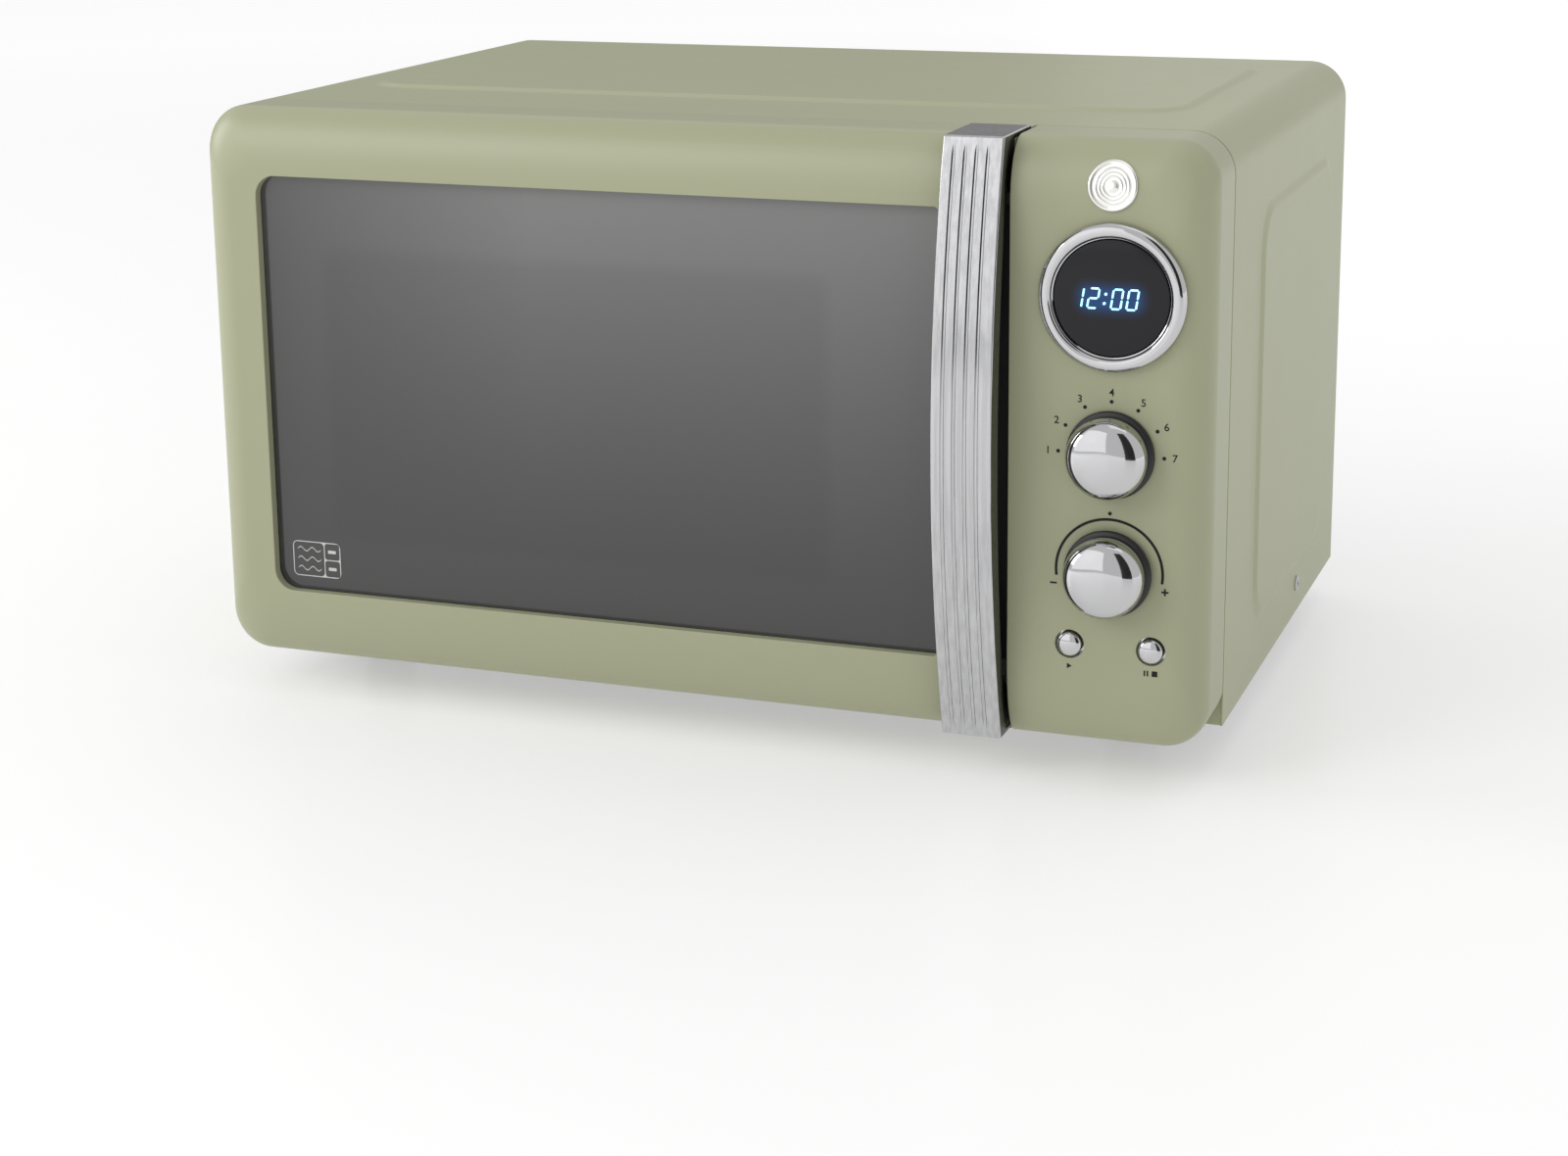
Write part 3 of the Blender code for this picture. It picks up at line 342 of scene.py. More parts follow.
def rounded(left, right, low, high, radius, steps=6):
    """A rectangle outline with round corners."""
    corners = ((right - radius, low + radius, -90), (right - radius, high - radius, 0))
    corners += ((left + radius, high - radius, 90), (left + radius, low + radius, 180))
    points = []
    for u, v, turn in corners:
        points += arc((u, v), radius, turn, turn + 90, steps)
    return points


def place(obj, body, material, slot, *nodes):
    """Finishes a piece: its material, the body that it rides on and the nodes it stands for. The slot
    argument is not used.
    """
    obj.data.materials.clear()
    obj.data.materials.append(material)
    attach(obj, body)
    if nodes:
        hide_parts(*nodes)
    return obj


def middle_of(node):
    low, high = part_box(node)
    return (low + high) / 2


def drawn_in(amount, depth, behind):
    """How far an elliptic edge has drawn in at a distance behind the front plane."""
    if behind >= depth:
        return 0.0
    return amount * (1 - math.sqrt(1 - ((depth - behind) / depth) ** 2))


def front_depth(x, z):
    """How far the moulded front lies behind its front plane at a point."""
    s = sizes()
    overs = ((abs(x) - (SIDE_X - s.side_roll), s.side_roll, s.roll_depth),)
    overs += ((z - (TOP_Z - s.top_roll), s.top_roll, s.roll_depth),)
    overs += (((BOTTOM_Z + s.low_roll) - z, s.low_roll, s.low_depth),)
    deepest = 0.0
    for over, reach, depth in overs:
        share = min(max(over / reach, 0.0), 1.0)
        deepest = max(deepest, depth * (1 - math.sqrt(1 - share * share)))
    return deepest


def lay_on_front(obj):
    """Bends a thin piece so that it follows the moulded front."""
    for vert in obj.data.vertices:
        vert.co.y += front_depth(vert.co.x, vert.co.z)
    return obj


def at_outline(co, band=0.006):
    """Whether a point lies close to the oven's outline, as seen from the front."""
    return abs(co.x) > SIDE_X - band or co.z > TOP_Z - band or co.z < BOTTOM_Z + band


# Finishes


def socket(tree, name, kind, output=False, default=None):
    made = tree.interface.new_socket(name=name, in_out="OUTPUT" if output else "INPUT", socket_type=kind)
    if default is not None:
        made.default_value = default
    return made


def math_node(tree, operation, *values, clamp=False):
    node = tree.nodes.new("ShaderNodeMath")
    node.operation = operation
    node.use_clamp = clamp
    for index, value in enumerate(values):
        if isinstance(value, (int, float)):
            node.inputs[index].default_value = value
        else:
            tree.links.new(value, node.inputs[index])
    return node.outputs[0]


def swing(tree, mask, amount):
    """A mask turned into a value that swings about zero."""
    return math_node(tree, "MULTIPLY", math_node(tree, "SUBTRACT", mask, 0.5), amount)


def new_group(name):
    tree = bpy.data.node_groups.new(name, "ShaderNodeTree")
    return tree, tree.nodes.new("NodeGroupInput"), tree.nodes.new("NodeGroupOutput")


def noise(tree, vector, scale, detail=2.0, roughness=0.5):
    node = tree.nodes.new("ShaderNodeTexNoise")
    node.inputs["Detail"].default_value = detail
    node.inputs["Roughness"].default_value = roughness
    tree.links.new(vector, node.inputs["Vector"])
    if isinstance(scale, (int, float)):
        node.inputs["Scale"].default_value = scale
    else:
        tree.links.new(scale, node.inputs["Scale"])
    return node.outputs["Fac"]


def surface_group():
    """Colour drift, roughness drift and fine height of any moulded, painted or plated surface."""
    found = bpy.data.node_groups.get("surface_drift")
    if found:
        return found
    tree, ins, outs = new_group("surface_drift")
    socket(tree, "Vector", "NodeSocketVector")
    socket(tree, "Colour", "NodeSocketColor", default=(0.5, 0.5, 0.5, 1.0))
    socket(tree, "Roughness", "NodeSocketFloat", default=0.4)
    socket(tree, "Grain Scale", "NodeSocketFloat", default=600.0)
    socket(tree, "Tint Drift", "NodeSocketFloat", default=0.05)
    socket(tree, "Roughness Drift", "NodeSocketFloat", default=0.08)
    socket(tree, "Colour", "NodeSocketColor", output=True)
    socket(tree, "Roughness", "NodeSocketFloat", output=True)
    socket(tree, "Height", "NodeSocketFloat", output=True)
    vector = ins.outputs["Vector"]
    broad = noise(tree, vector, 9.0, 3.0)
    smear = noise(tree, vector, 38.0, 4.0, 0.6)
    grain = noise(tree, vector, ins.outputs["Grain Scale"], 2.0)
    factor = math_node(tree, "ADD", swing(tree, broad, ins.outputs["Tint Drift"]), 1.0)
    tint = tree.nodes.new("ShaderNodeVectorMath")
    tint.operation = "SCALE"
    tree.links.new(ins.outputs["Colour"], tint.inputs[0])
    tree.links.new(factor, tint.inputs["Scale"])
    tree.links.new(tint.outputs[0], outs.inputs["Colour"])
    rough = swing(tree, smear, ins.outputs["Roughness Drift"])
    rough = math_node(tree, "ADD", rough, ins.outputs["Roughness"], clamp=True)
    tree.links.new(rough, outs.inputs["Roughness"])
    tree.links.new(grain, outs.inputs["Height"])
    return tree


def brushed_group():
    """Fine parallel lines along one axis, as height and roughness."""
    found = bpy.data.node_groups.get("brushed_lines")
    if found:
        return found
    tree, ins, outs = new_group("brushed_lines")
    socket(tree, "Vector", "NodeSocketVector")
    socket(tree, "Stretch", "NodeSocketVector", default=(1500.0, 1500.0, 12.0))
    socket(tree, "Roughness", "NodeSocketFloat", default=0.2)
    socket(tree, "Spread", "NodeSocketFloat", default=0.1)
    socket(tree, "Roughness", "NodeSocketFloat", output=True)
    socket(tree, "Height", "NodeSocketFloat", output=True)
    stretched = tree.nodes.new("ShaderNodeVectorMath")
    stretched.operation = "MULTIPLY"
    tree.links.new(ins.outputs["Vector"], stretched.inputs[0])
    tree.links.new(ins.outputs["Stretch"], stretched.inputs[1])
    lines = noise(tree, stretched.outputs[0], 1.0, 3.0, 0.6)
    rough = swing(tree, lines, ins.outputs["Spread"])
    rough = math_node(tree, "ADD", rough, ins.outputs["Roughness"], clamp=True)
    tree.links.new(rough, outs.inputs["Roughness"])
    tree.links.new(lines, outs.inputs["Height"])
    return tree


def field_group():
    """A soft-edged round-cornered rectangle in the XZ plane: 1 inside and 0 outside."""
    found = bpy.data.node_groups.get("soft_field")
    if found:
        return found
    tree, ins, outs = new_group("soft_field")
    socket(tree, "Vector", "NodeSocketVector")
    for name in ("Centre", "Half"):
        socket(tree, name, "NodeSocketVector")
    socket(tree, "Corner", "NodeSocketFloat", default=0.006)
    socket(tree, "Softness", "NodeSocketFloat", default=0.002)
    socket(tree, "Mask", "NodeSocketFloat", output=True)
    away = tree.nodes.new("ShaderNodeVectorMath")
    away.operation = "SUBTRACT"
    tree.links.new(ins.outputs["Vector"], away.inputs[0])
    tree.links.new(ins.outputs["Centre"], away.inputs[1])
    split = tree.nodes.new("ShaderNodeSeparateXYZ")
    tree.links.new(away.outputs[0], split.inputs[0])
    half = tree.nodes.new("ShaderNodeSeparateXYZ")
    tree.links.new(ins.outputs["Half"], half.inputs[0])
    overs = []
    for axis in ("X", "Z"):
        reach = math_node(tree, "SUBTRACT", half.outputs[axis], ins.outputs["Corner"])
        over = math_node(tree, "SUBTRACT", math_node(tree, "ABSOLUTE", split.outputs[axis]), reach)
        overs.append(math_node(tree, "MAXIMUM", over, 0.0))
    squares = [math_node(tree, "MULTIPLY", over, over) for over in overs]
    distance = math_node(tree, "SQRT", math_node(tree, "ADD", *squares))
    outside = math_node(tree, "SUBTRACT", distance, ins.outputs["Corner"])
    share = math_node(tree, "DIVIDE", outside, ins.outputs["Softness"])
    tree.links.new(math_node(tree, "SUBTRACT", 0.5, share, clamp=True), outs.inputs["Mask"])
    return tree


def holes_group():
    """Staggered round holes in the XZ plane: 1 in a hole and 0 on the sheet."""
    found = bpy.data.node_groups.get("staggered_holes")
    if found:
        return found
    tree, ins, outs = new_group("staggered_holes")
    socket(tree, "Vector", "NodeSocketVector")
    socket(tree, "Pitch", "NodeSocketFloat", default=0.0022)
    socket(tree, "Radius", "NodeSocketFloat", default=0.33)
    socket(tree, "Mask", "NodeSocketFloat", output=True)
    split = tree.nodes.new("ShaderNodeSeparateXYZ")
    tree.links.new(ins.outputs["Vector"], split.inputs[0])
    row_step, keep_positive = math.sqrt(3), 100
    row = math_node(tree, "MULTIPLY", ins.outputs["Pitch"], row_step)
    across = math_node(tree, "DIVIDE", split.outputs["X"], ins.outputs["Pitch"])
    up = math_node(tree, "DIVIDE", split.outputs["Z"], row)
    nearest = None
    for shift in (keep_positive, keep_positive + 0.5):
        u, v = (
            math_node(tree, "SUBTRACT", math_node(tree, "FRACT", math_node(tree, "ADD", cell, shift)), 0.5)
            for cell in (across, up)
        )
        v = math_node(tree, "MULTIPLY", v, row_step)
        squares = math_node(tree, "ADD", math_node(tree, "MULTIPLY", u, u), math_node(tree, "MULTIPLY", v, v))
        distance = math_node(tree, "SQRT", squares)
        nearest = distance if nearest is None else math_node(tree, "MINIMUM", nearest, distance)
    inside = math_node(tree, "LESS_THAN", nearest, ins.outputs["Radius"])
    tree.links.new(inside, outs.inputs["Mask"])
    return tree


def use_group(tree, group, coordinates, **values):
    node = tree.nodes.new("ShaderNodeGroup")
    node.node_tree = group
    tree.links.new(coordinates, node.inputs["Vector"])
    for name, value in values.items():
        target = node.inputs[name.replace("_", " ")]
        if hasattr(value, "is_linked"):
            tree.links.new(value, target)
        else:
            target.default_value = (*value, 1.0) if target.type == "RGBA" and len(value) == 3 else value
    return node


def start_material(name):
    material = bpy.data.materials.new(name)
    material.use_nodes = True
    tree = material.node_tree
    coordinates = tree.nodes.new("ShaderNodeTexCoord").outputs["Object"]
    return material, tree, tree.nodes["Principled BSDF"], coordinates


def connect(tree, shader, colour, roughness):
    tree.links.new(colour, shader.inputs["Base Color"])
    tree.links.new(roughness, shader.inputs["Roughness"])


def add_bump(tree, shader, height, distance):
    """Fine relief of a depth in metres."""
    bump = tree.nodes.new("ShaderNodeBump")
    bump.inputs["Distance"].default_value = distance
    bump.inputs["Strength"].default_value = 1.0
    tree.links.new(height, bump.inputs["Height"])
    tree.links.new(bump.outputs["Normal"], shader.inputs["Normal"])


def mixed(tree, factor, first, second):
    """A colour mixed by a mask."""
    node = tree.nodes.new("ShaderNodeMix")
    node.data_type = "RGBA"
    tree.links.new(factor, node.inputs[0])
    for index, value in ((6, first), (7, second)):
        if hasattr(value, "is_linked"):
            tree.links.new(value, node.inputs[index])
        else:
            node.inputs[index].default_value = (*value[:3], 1.0)
    return node.outputs[2]


def surface(
    name, colour, roughness, metallic=0.0, drift=0.05, rough_drift=0.08, grain=600.0, bump=0.00001, **extra
):
    """A finish whose colour, roughness and fine height all vary over the surface."""
    found = bpy.data.materials.get(name)
    if found:
        return found
    material, tree, shader, coordinates = start_material(name)
    node = use_group(
        tree, surface_group(), coordinates, Colour=tuple(colour), Roughness=roughness,
        Grain_Scale=grain, Tint_Drift=drift, Roughness_Drift=rough_drift,
    )
    connect(tree, shader, node.outputs["Colour"], node.outputs["Roughness"])
    add_bump(tree, shader, node.outputs["Height"], bump)
    shader.inputs["Metallic"].default_value = metallic
    for key, value in extra.items():
        shader.inputs[key.replace("_", " ")].default_value = value
    return material


def brushed(name, colour, roughness, stretch, spread=0.12, bump=0.000004, reflection_streaks=0.0):
    """A metal or plated finish with fine parallel lines, and darker streaks where asked for, painted in as
    reflection banding.
    """
    found = bpy.data.materials.get(name)
    if found:
        return found
    material, tree, shader, coordinates = start_material(name)
    drift = use_group(
        tree, surface_group(), coordinates, Colour=tuple(colour), Roughness=roughness, Tint_Drift=0.06
    )
    lines = use_group(
        tree, brushed_group(), coordinates, Stretch=stretch, Spread=spread,
        Roughness=drift.outputs["Roughness"],
    )
    finish = drift.outputs["Colour"]
    if reflection_streaks:
        # Painted reflection: darker upright bands mixed into the colour.
        dark_end, contrast = 0.36, 3.6
        above = math_node(tree, "SUBTRACT", lines.outputs["Height"], dark_end)
        sharp = math_node(tree, "MULTIPLY", above, contrast, clamp=True)
        finish = mixed(tree, sharp, tuple(part * (1 - reflection_streaks) for part in colour), finish)
    connect(tree, shader, finish, lines.outputs["Roughness"])
    add_bump(tree, shader, lines.outputs["Height"], bump)
    shader.inputs["Metallic"].default_value = 1.0
    return material


def enamel():
    return surface(
        "cabinet_enamel", colours().enamel, 0.36, drift=0.03, rough_drift=0.05, grain=420.0, bump=0.000012,
        Specular_IOR_Level=0.22,
    )


def front_plastic():
    return surface(
        "green_gloss_plastic", colours().plastic, 0.36, drift=0.02, rough_drift=0.03, grain=260.0,
        bump=0.000003, Specular_IOR_Level=0.36,
    )


def mirror_chrome():
    return surface(
        "mirror_chrome", colours().chrome, 0.075, 1.0, drift=0.02, rough_drift=0.03, grain=180.0,
        bump=0.0000015,
    )


def satin_chrome():
    """The handle's face, with long upright darker streaks painted in as reflection banding."""
    return brushed("satin_chrome", (0.55, 0.55, 0.56), 0.17, (700.0, 700.0, 2.5), 0.12, reflection_streaks=0.16)


def flank_chrome():
    """The handle's sides, painted darker than its face as painted shade."""
    return brushed("flank_chrome", (0.080, 0.080, 0.079), 0.26, (900.0, 900.0, 9.0), 0.14)


def black_plastic():
    return surface("moulded_black", (0.012, 0.012, 0.013), 0.38, drift=0.2, grain=1400.0, bump=0.00002)


def print_ink(name, colour):
    return surface(
        name, colour, 0.45, drift=0.08, rough_drift=0.1, grain=2500.0, bump=0.000004, Specular_IOR_Level=0.2
    )


def dark_ink():
    return print_ink("dark_print", (0.010, 0.010, 0.009))


def smoked_glass():
    """Smoked glass with a painted reflection: lighter towards the top and darker along the left, slightly
    see-through over the screen.
    """
    found = bpy.data.materials.get("smoked_glass")
    if found:
        return found
    material, tree, shader, coordinates = start_material("smoked_glass")
    low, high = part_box("door_glass")
    split = tree.nodes.new("ShaderNodeSeparateXYZ")
    tree.links.new(coordinates, split.inputs[0])
    # Painted reflection: the colour grows lighter upwards and darker towards the left edge.
    share = math_node(tree, "DIVIDE", math_node(tree, "SUBTRACT", split.outputs["Z"], low.z), high.z - low.z)
    upward = math_node(tree, "POWER", math_node(tree, "MAXIMUM", share, 0.0), 1.6, clamp=True)
    left_band, painted_reflection_left = 0.13, 0.20
    from_left = math_node(tree, "DIVIDE", math_node(tree, "SUBTRACT", split.outputs["X"], low.x), left_band)
    from_left = math_node(tree, "MAXIMUM", from_left, 0.0, clamp=True)
    inward = math_node(tree, "MULTIPLY_ADD", from_left, 1.0 - painted_reflection_left, painted_reflection_left)
    painted_reflection_share = math_node(tree, "MULTIPLY", upward, inward)
    base = mixed(tree, painted_reflection_share, colours().glass_low, colours().glass_top)
    view_low, view_high = Vector((-0.162, 0.0, 0.0735)), Vector((0.064, 0.0, 0.1998))
    field = use_group(
        tree, field_group(), coordinates, Centre=(view_low + view_high) / 2,
        Half=(view_high - view_low) / 2, Corner=0.006, Softness=0.007,
    )
    screen_tint, see_through = 0.07, 0.06
    dimmed = math_node(tree, "MULTIPLY", field.outputs["Mask"], screen_tint)
    colour = mixed(tree, dimmed, base, (0.05, 0.05, 0.05))
    drift = use_group(
        tree, surface_group(), coordinates, Colour=colour, Roughness=0.11, Tint_Drift=0.03,
        Roughness_Drift=0.03,
    )
    connect(tree, shader, drift.outputs["Colour"], drift.outputs["Roughness"])
    clear = math_node(tree, "MULTIPLY", field.outputs["Mask"], see_through)
    tree.links.new(math_node(tree, "SUBTRACT", 1.0, clear), shader.inputs["Alpha"])
    shader.inputs["Coat Weight"].default_value = 0.3
    shader.inputs["Coat Roughness"].default_value = 0.03
    return material


def perforated_steel():
    """Black painted sheet with staggered holes in its middle field; the holes are near-black, painted shade
    of the cavity seen through them.
    """
    found = bpy.data.materials.get("perforated_steel")
    if found:
        return found
    material, tree, shader, coordinates = start_material("perforated_steel")
    holes = use_group(tree, holes_group(), coordinates, Pitch=sizes().pitch)
    view = use_group(
        tree, field_group(), coordinates, Centre=Vector((-0.049, 0.0, 0.1365)),
        Half=Vector((0.113, 0.0, 0.0635)), Corner=0.004, Softness=0.0005,
    )
    mask = math_node(tree, "MULTIPLY", holes.outputs["Mask"], view.outputs["Mask"])
    drift = use_group(tree, surface_group(), coordinates, Colour=(0.20, 0.20, 0.20, 1.0), Roughness=0.4)
    # Painted shade: the holes are near-black, for the dark cavity behind them.
    colour = mixed(tree, mask, drift.outputs["Colour"], (0.004, 0.004, 0.004))
    connect(tree, shader, colour, drift.outputs["Roughness"])
    hole_depth = 0.3 * MM
    add_bump(tree, shader, math_node(tree, "SUBTRACT", 1.0, mask), hole_depth)
    return material


def clock_lens(digits_centre):
    """Smoked lens with a soft glow behind the digits."""
    found = bpy.data.materials.get("clock_lens")
    if found:
        return found
    material, tree, shader, coordinates = start_material("clock_lens")
    glow = use_group(
        tree, field_group(), coordinates, Centre=digits_centre,
        Half=Vector((0.0135, 0.0, 0.0058)), Corner=0.0050, Softness=0.0060,
    )
    soft = math_node(tree, "POWER", glow.outputs["Mask"], 2.0)
    light = mixed(tree, soft, (0.0, 0.0, 0.0), (0.002, 0.045, 0.16))
    drift = use_group(
        tree, surface_group(), coordinates, Colour=(0.008, 0.008, 0.010, 1.0), Roughness=0.12,
        Roughness_Drift=0.03,
    )
    connect(tree, shader, drift.outputs["Colour"], drift.outputs["Roughness"])
    tree.links.new(light, shader.inputs["Emission Color"])
    shader.inputs["Emission Strength"].default_value = 1.0
    shader.inputs["Specular IOR Level"].default_value = 0.3
    return material


def glowing(name, colour, strength):
    """A finish that gives off its own light."""
    found = bpy.data.materials.get(name)
    if found:
        return found
    material, tree, shader, coordinates = start_material(name)
    drift = use_group(tree, surface_group(), coordinates, Colour=tuple(colour), Tint_Drift=0.1)
    tree.links.new(drift.outputs["Colour"], shader.inputs["Base Color"])
    tree.links.new(drift.outputs["Colour"], shader.inputs["Emission Color"])
    shader.inputs["Emission Strength"].default_value = strength
    return material


def clear_glass():
    found = bpy.data.materials.get("plate_glass")
    if found:
        return found
    material, tree, shader, coordinates = start_material("plate_glass")
    drift = use_group(
        tree, surface_group(), coordinates, Colour=(0.90, 0.95, 0.94, 1.0), Roughness=0.03,
        Roughness_Drift=0.03, Tint_Drift=0.02, Grain_Scale=120.0,
    )
    connect(tree, shader, drift.outputs["Colour"], drift.outputs["Roughness"])
    add_bump(tree, shader, drift.outputs["Height"], 0.00004)
    shader.inputs["Transmission Weight"].default_value = 0.92
    shader.inputs["IOR"].default_value = 1.5
    return material


# Pieces


class PieceOperator:
    bl_options = {"REGISTER"}


class OVEN_OT_cabinet(PieceOperator, bpy.types.Operator):
    """Painted wrap with its pressed fields and rear flange, and a gusset in each lower front corner"""

    bl_idname = "oven.cabinet"
    bl_label = "Cabinet"

    def execute(self, context):
        low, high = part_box("outer_cabinet")
        front, back = low.y, high.y
        radius = sizes().corner
        upper = lambda co: co.z > 0.1
        wrap_low, wrap_high = (-SIDE_X, front, BOTTOM_Z), (SIDE_X, back, TOP_Z)
        wrap = block("cabinet_wrap", wrap_low, wrap_high, radius, "-Y", 12, upper)
        hollow_low = (-SIDE_X + WRAP_SHEET, front - 0.01, -0.05)
        hollow_high = (SIDE_X - WRAP_SHEET, back - WRAP_SHEET, TOP_Z - WRAP_SHEET)
        hollow = block("hollow", hollow_low, hollow_high, radius - WRAP_SHEET, "-Y", 12, upper)
        mouth_low = (-SIDE_X + REAR_FLANGE, back - 0.02, -0.02)
        mouth_high = (SIDE_X - REAR_FLANGE, back + 0.01, TOP_Z - REAR_FLANGE)
        carve(wrap, hollow, block("mouth", mouth_low, mouth_high, 0.010, "-Y", 8, upper))
        for facing, centre, wide, tall in self.fields():
            carve(wrap, pressed_field(facing, centre, wide, tall, high.z - TOP_Z), operation="UNION")
        edge = lambda co: abs(co.y - front) < ON_PLANE or abs(co.y - back) < ON_PLANE
        round_edges(wrap, edge, 0.0004, 2, 60)
        bore_radius = 0.0021
        for screw in ("rear_screw_1", "rear_screw_2", "rear_screw_3"):
            centre = middle_of(screw)
            start = (centre.x, back + 0.01, centre.z)
            carve(wrap, turned("hole", ((bore_radius, 0.0), (bore_radius, 0.02)), start, "-Y", 24))
        smooth(wrap)
        place(wrap, "oven", enamel(), "green_enamel", "outer_cabinet")
        for side, name in ((1, "corner_gusset_right"), (-1, "corner_gusset_left")):
            self.gusset(name, side, front)
        return {"FINISHED"}

    def gusset(self, name, side, front):
        """A painted plate that closes the wrap's square lower corner behind the round front."""
        reach, hollow, thickness = 22 * MM, 15 * MM, 1.2 * MM
        inset, lift, recess = 0.6 * MM, 0.3 * MM, 0.3 * MM
        corner = [(0.0, 0.0), (0.0, reach), *arc((reach, reach), hollow, 180, 270, 8), (reach, 0.0)]
        outline = [(side * (SIDE_X - inset - u), BOTTOM_Z + lift + v) for u, v in corner]
        piece = outline_solid(name, [outline], "-Y", -front - recess - thickness, thickness)
        place(piece, "oven", enamel(), "green_enamel")

    def fields(self):
        """Facing, centre, width and height of each pressed field."""
        middle_y = FRONT_Y + 0.1765
        yield "+Z", Vector((0.0, middle_y, TOP_Z)), 0.376, 0.177
        for facing, x in (("+X", SIDE_X), ("-X", -SIDE_X)):
            yield facing, Vector((x, middle_y + 0.0045, 0.1315)), 0.168, 0.181


def pressed_field(facing, centre, wide, tall, rise):
    """A raised field whose edge runs out smoothly into the sheet."""
    normal = FACINGS[facing][1]
    buried, overlap, corner = 0.0005, 0.00001, 0.020
    obj = plate("field", wide, tall, centre - normal * buried, facing, corner, 16)
    slope = ((0.0, 0.0), (0.6, 0.03), (1.2, 0.12), (2.0, 0.32))
    slope += ((3.2, 0.66), (4.2, 0.90), (4.9, 0.98), (5.6, 1.0))
    with editing(obj, everything=True):
        push(normal * (buried - overlap))
        height, inset = -overlap, 0.0
        for inset_mm, share in slope:
            new_inset, new_height = inset_mm * MM, min(rise * share + overlap, rise)
            wide_scale = (wide - 2 * new_inset) / (wide - 2 * inset)
            tall_scale = (tall - 2 * new_inset) / (tall - 2 * inset)
            scales = {"Z": (wide_scale, tall_scale, 1.0), "X": (1.0, wide_scale, tall_scale)}[facing[1]]
            push(normal * (new_height - height), scales, centre)
            height, inset = new_height, new_inset
    return seal(obj)


class OVEN_OT_front(PieceOperator, bpy.types.Operator):
    """Moulded front: the door's frame and the control panel"""

    bl_idname = "oven.front"
    bl_label = "Front"

    def execute(self, context):
        whole = self.pillow()
        door = bisect(copy_of(whole, "door_moulding"), (DOOR_RIGHT, 0, 0), (1, 0, 0))
        panel = bisect(copy_of(whole, "panel_moulding"), (PANEL_LEFT, 0, 0), (1, 0, 0), keep_inner=False)
        bpy.data.objects.remove(whole, do_unlink=True)
        self.finish_door(door)
        self.finish_panel(panel)
        return {"FINISHED"}

    def pillow(self):
        """The whole front as rounded outlines stacked from the seam to the front plane."""
        s = sizes()
        centre = (0.0, SEAM_Y, (TOP_Z + BOTTOM_Z) / 2)
        obj = plate("front_shell", 2 * SIDE_X, TOP_Z - BOTTOM_Z, centre, "-Y", s.corner, 14)
        with editing(obj, everything=True):
            y = FRONT_Y + s.roll_depth
            push((0, y - SEAM_Y, 0))
            old = (-SIDE_X, SIDE_X, BOTTOM_Z, TOP_Z)
            for step in range(1, s.roll_steps + 1):
                behind = s.roll_depth * (1 - math.sin(math.pi / 2 * step / s.roll_steps))
                side = drawn_in(s.side_roll, s.roll_depth, behind)
                top = drawn_in(s.top_roll, s.roll_depth, behind)
                low = drawn_in(s.low_roll, s.low_depth, behind)
                new = (-SIDE_X + side, SIDE_X - side, BOTTOM_Z + low, TOP_Z - top)
                across = (new[1] - new[0]) / (old[1] - old[0])
                up = (new[3] - new[2]) / (old[3] - old[2])
                pivot = (new[3] - up * old[3]) / (1 - up)
                push((0, FRONT_Y + behind - y, 0), (across, 1.0, up), (0.0, FRONT_Y + behind, pivot))
                y, old = FRONT_Y + behind, new
        return seal(obj)

    def finish_door(self, door):
        """Window, seats and pockets of the door's moulding."""
        low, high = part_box("door_frame")
        glass_low, glass_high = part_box("door_glass")
        grip_low, grip_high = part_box("handle_grip")
        base_low, base_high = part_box("handle_base")
        before, behind, beyond_x, beyond_z = low.y - 0.05, high.y + 0.01, 0.2, 0.3
        carve(door, self.window(low, glass_low, glass_high))
        lip = lambda co: abs(co.y - FRONT_Y) < 3e-5 and co.x < 0.1125 and abs(co.x) < 0.192
        round_edges(door, lip, sizes().lip, 4, 60)
        play = 0.0004
        seat_low = (glass_low.x - play, glass_low.y - 0.0003, glass_low.z - play)
        carve(door, block("seat", seat_low, (glass_high.x + play, glass_high.y + 0.003, glass_high.z + play)))
        screen_low, screen_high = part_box("door_screen")
        pocket_low = (screen_low.x - play, glass_high.y + 0.0006, screen_low.z - play)
        carve(door, block("pocket", pocket_low, (screen_high.x + play, behind, screen_high.z + play)))
        scoop_y = base_high.y + 0.0003
        scoop_x = base_low.x - 0.0005
        scoop_low, scoop_high = 0.0434, 0.2366
        carve(door, block("scoop", (scoop_x, before, scoop_low), (beyond_x, scoop_y, scoop_high)))
        grip_x = grip_low.x - play
        for z_low, z_high in ((scoop_high - 0.0001, beyond_z), (-0.01, scoop_low + 0.0001)):
            carve(door, block("grip_seat", (grip_x, before, z_low), (beyond_x, low.y + 0.0042, z_high)))
            carve(door, block("base_seat", (scoop_x, before, z_low), (beyond_x, scoop_y, z_high)))
        cap_low = (grip_x, before, grip_high.z - 0.0024)
        carve(door, block("cap_seat", cap_low, (beyond_x, grip_high.y + play, beyond_z)))
        carve(door, block("latch_pocket", (0.1215, low.y + 0.02, 0.0700), (0.1345, behind, 0.2120)))
        pivot = Vector(frame["joints"][0]["pos_m"])
        slot_half = 0.0021
        for bracket in ("lower_hinge_bracket", "upper_hinge_bracket"):
            z = middle_of(bracket).z
            slot_low = (pivot.x - 0.02, pivot.y - 0.006, z - slot_half)
            carve(door, block("hinge_slot", slot_low, (pivot.x + 0.0052, behind, z + slot_half)))
        carve(door, self.hinge_corner(pivot))
        round_edges(door, lambda co: abs(co.y - high.y) < ON_PLANE and at_outline(co), SEAM_BEVEL, 3, 60)
        round_edges(door, lambda co: abs(co.x - high.x) < ON_PLANE, 0.0003, 2, 60)
        smooth(door)
        place(door, "door", front_plastic(), "green_plastic", "door_frame")

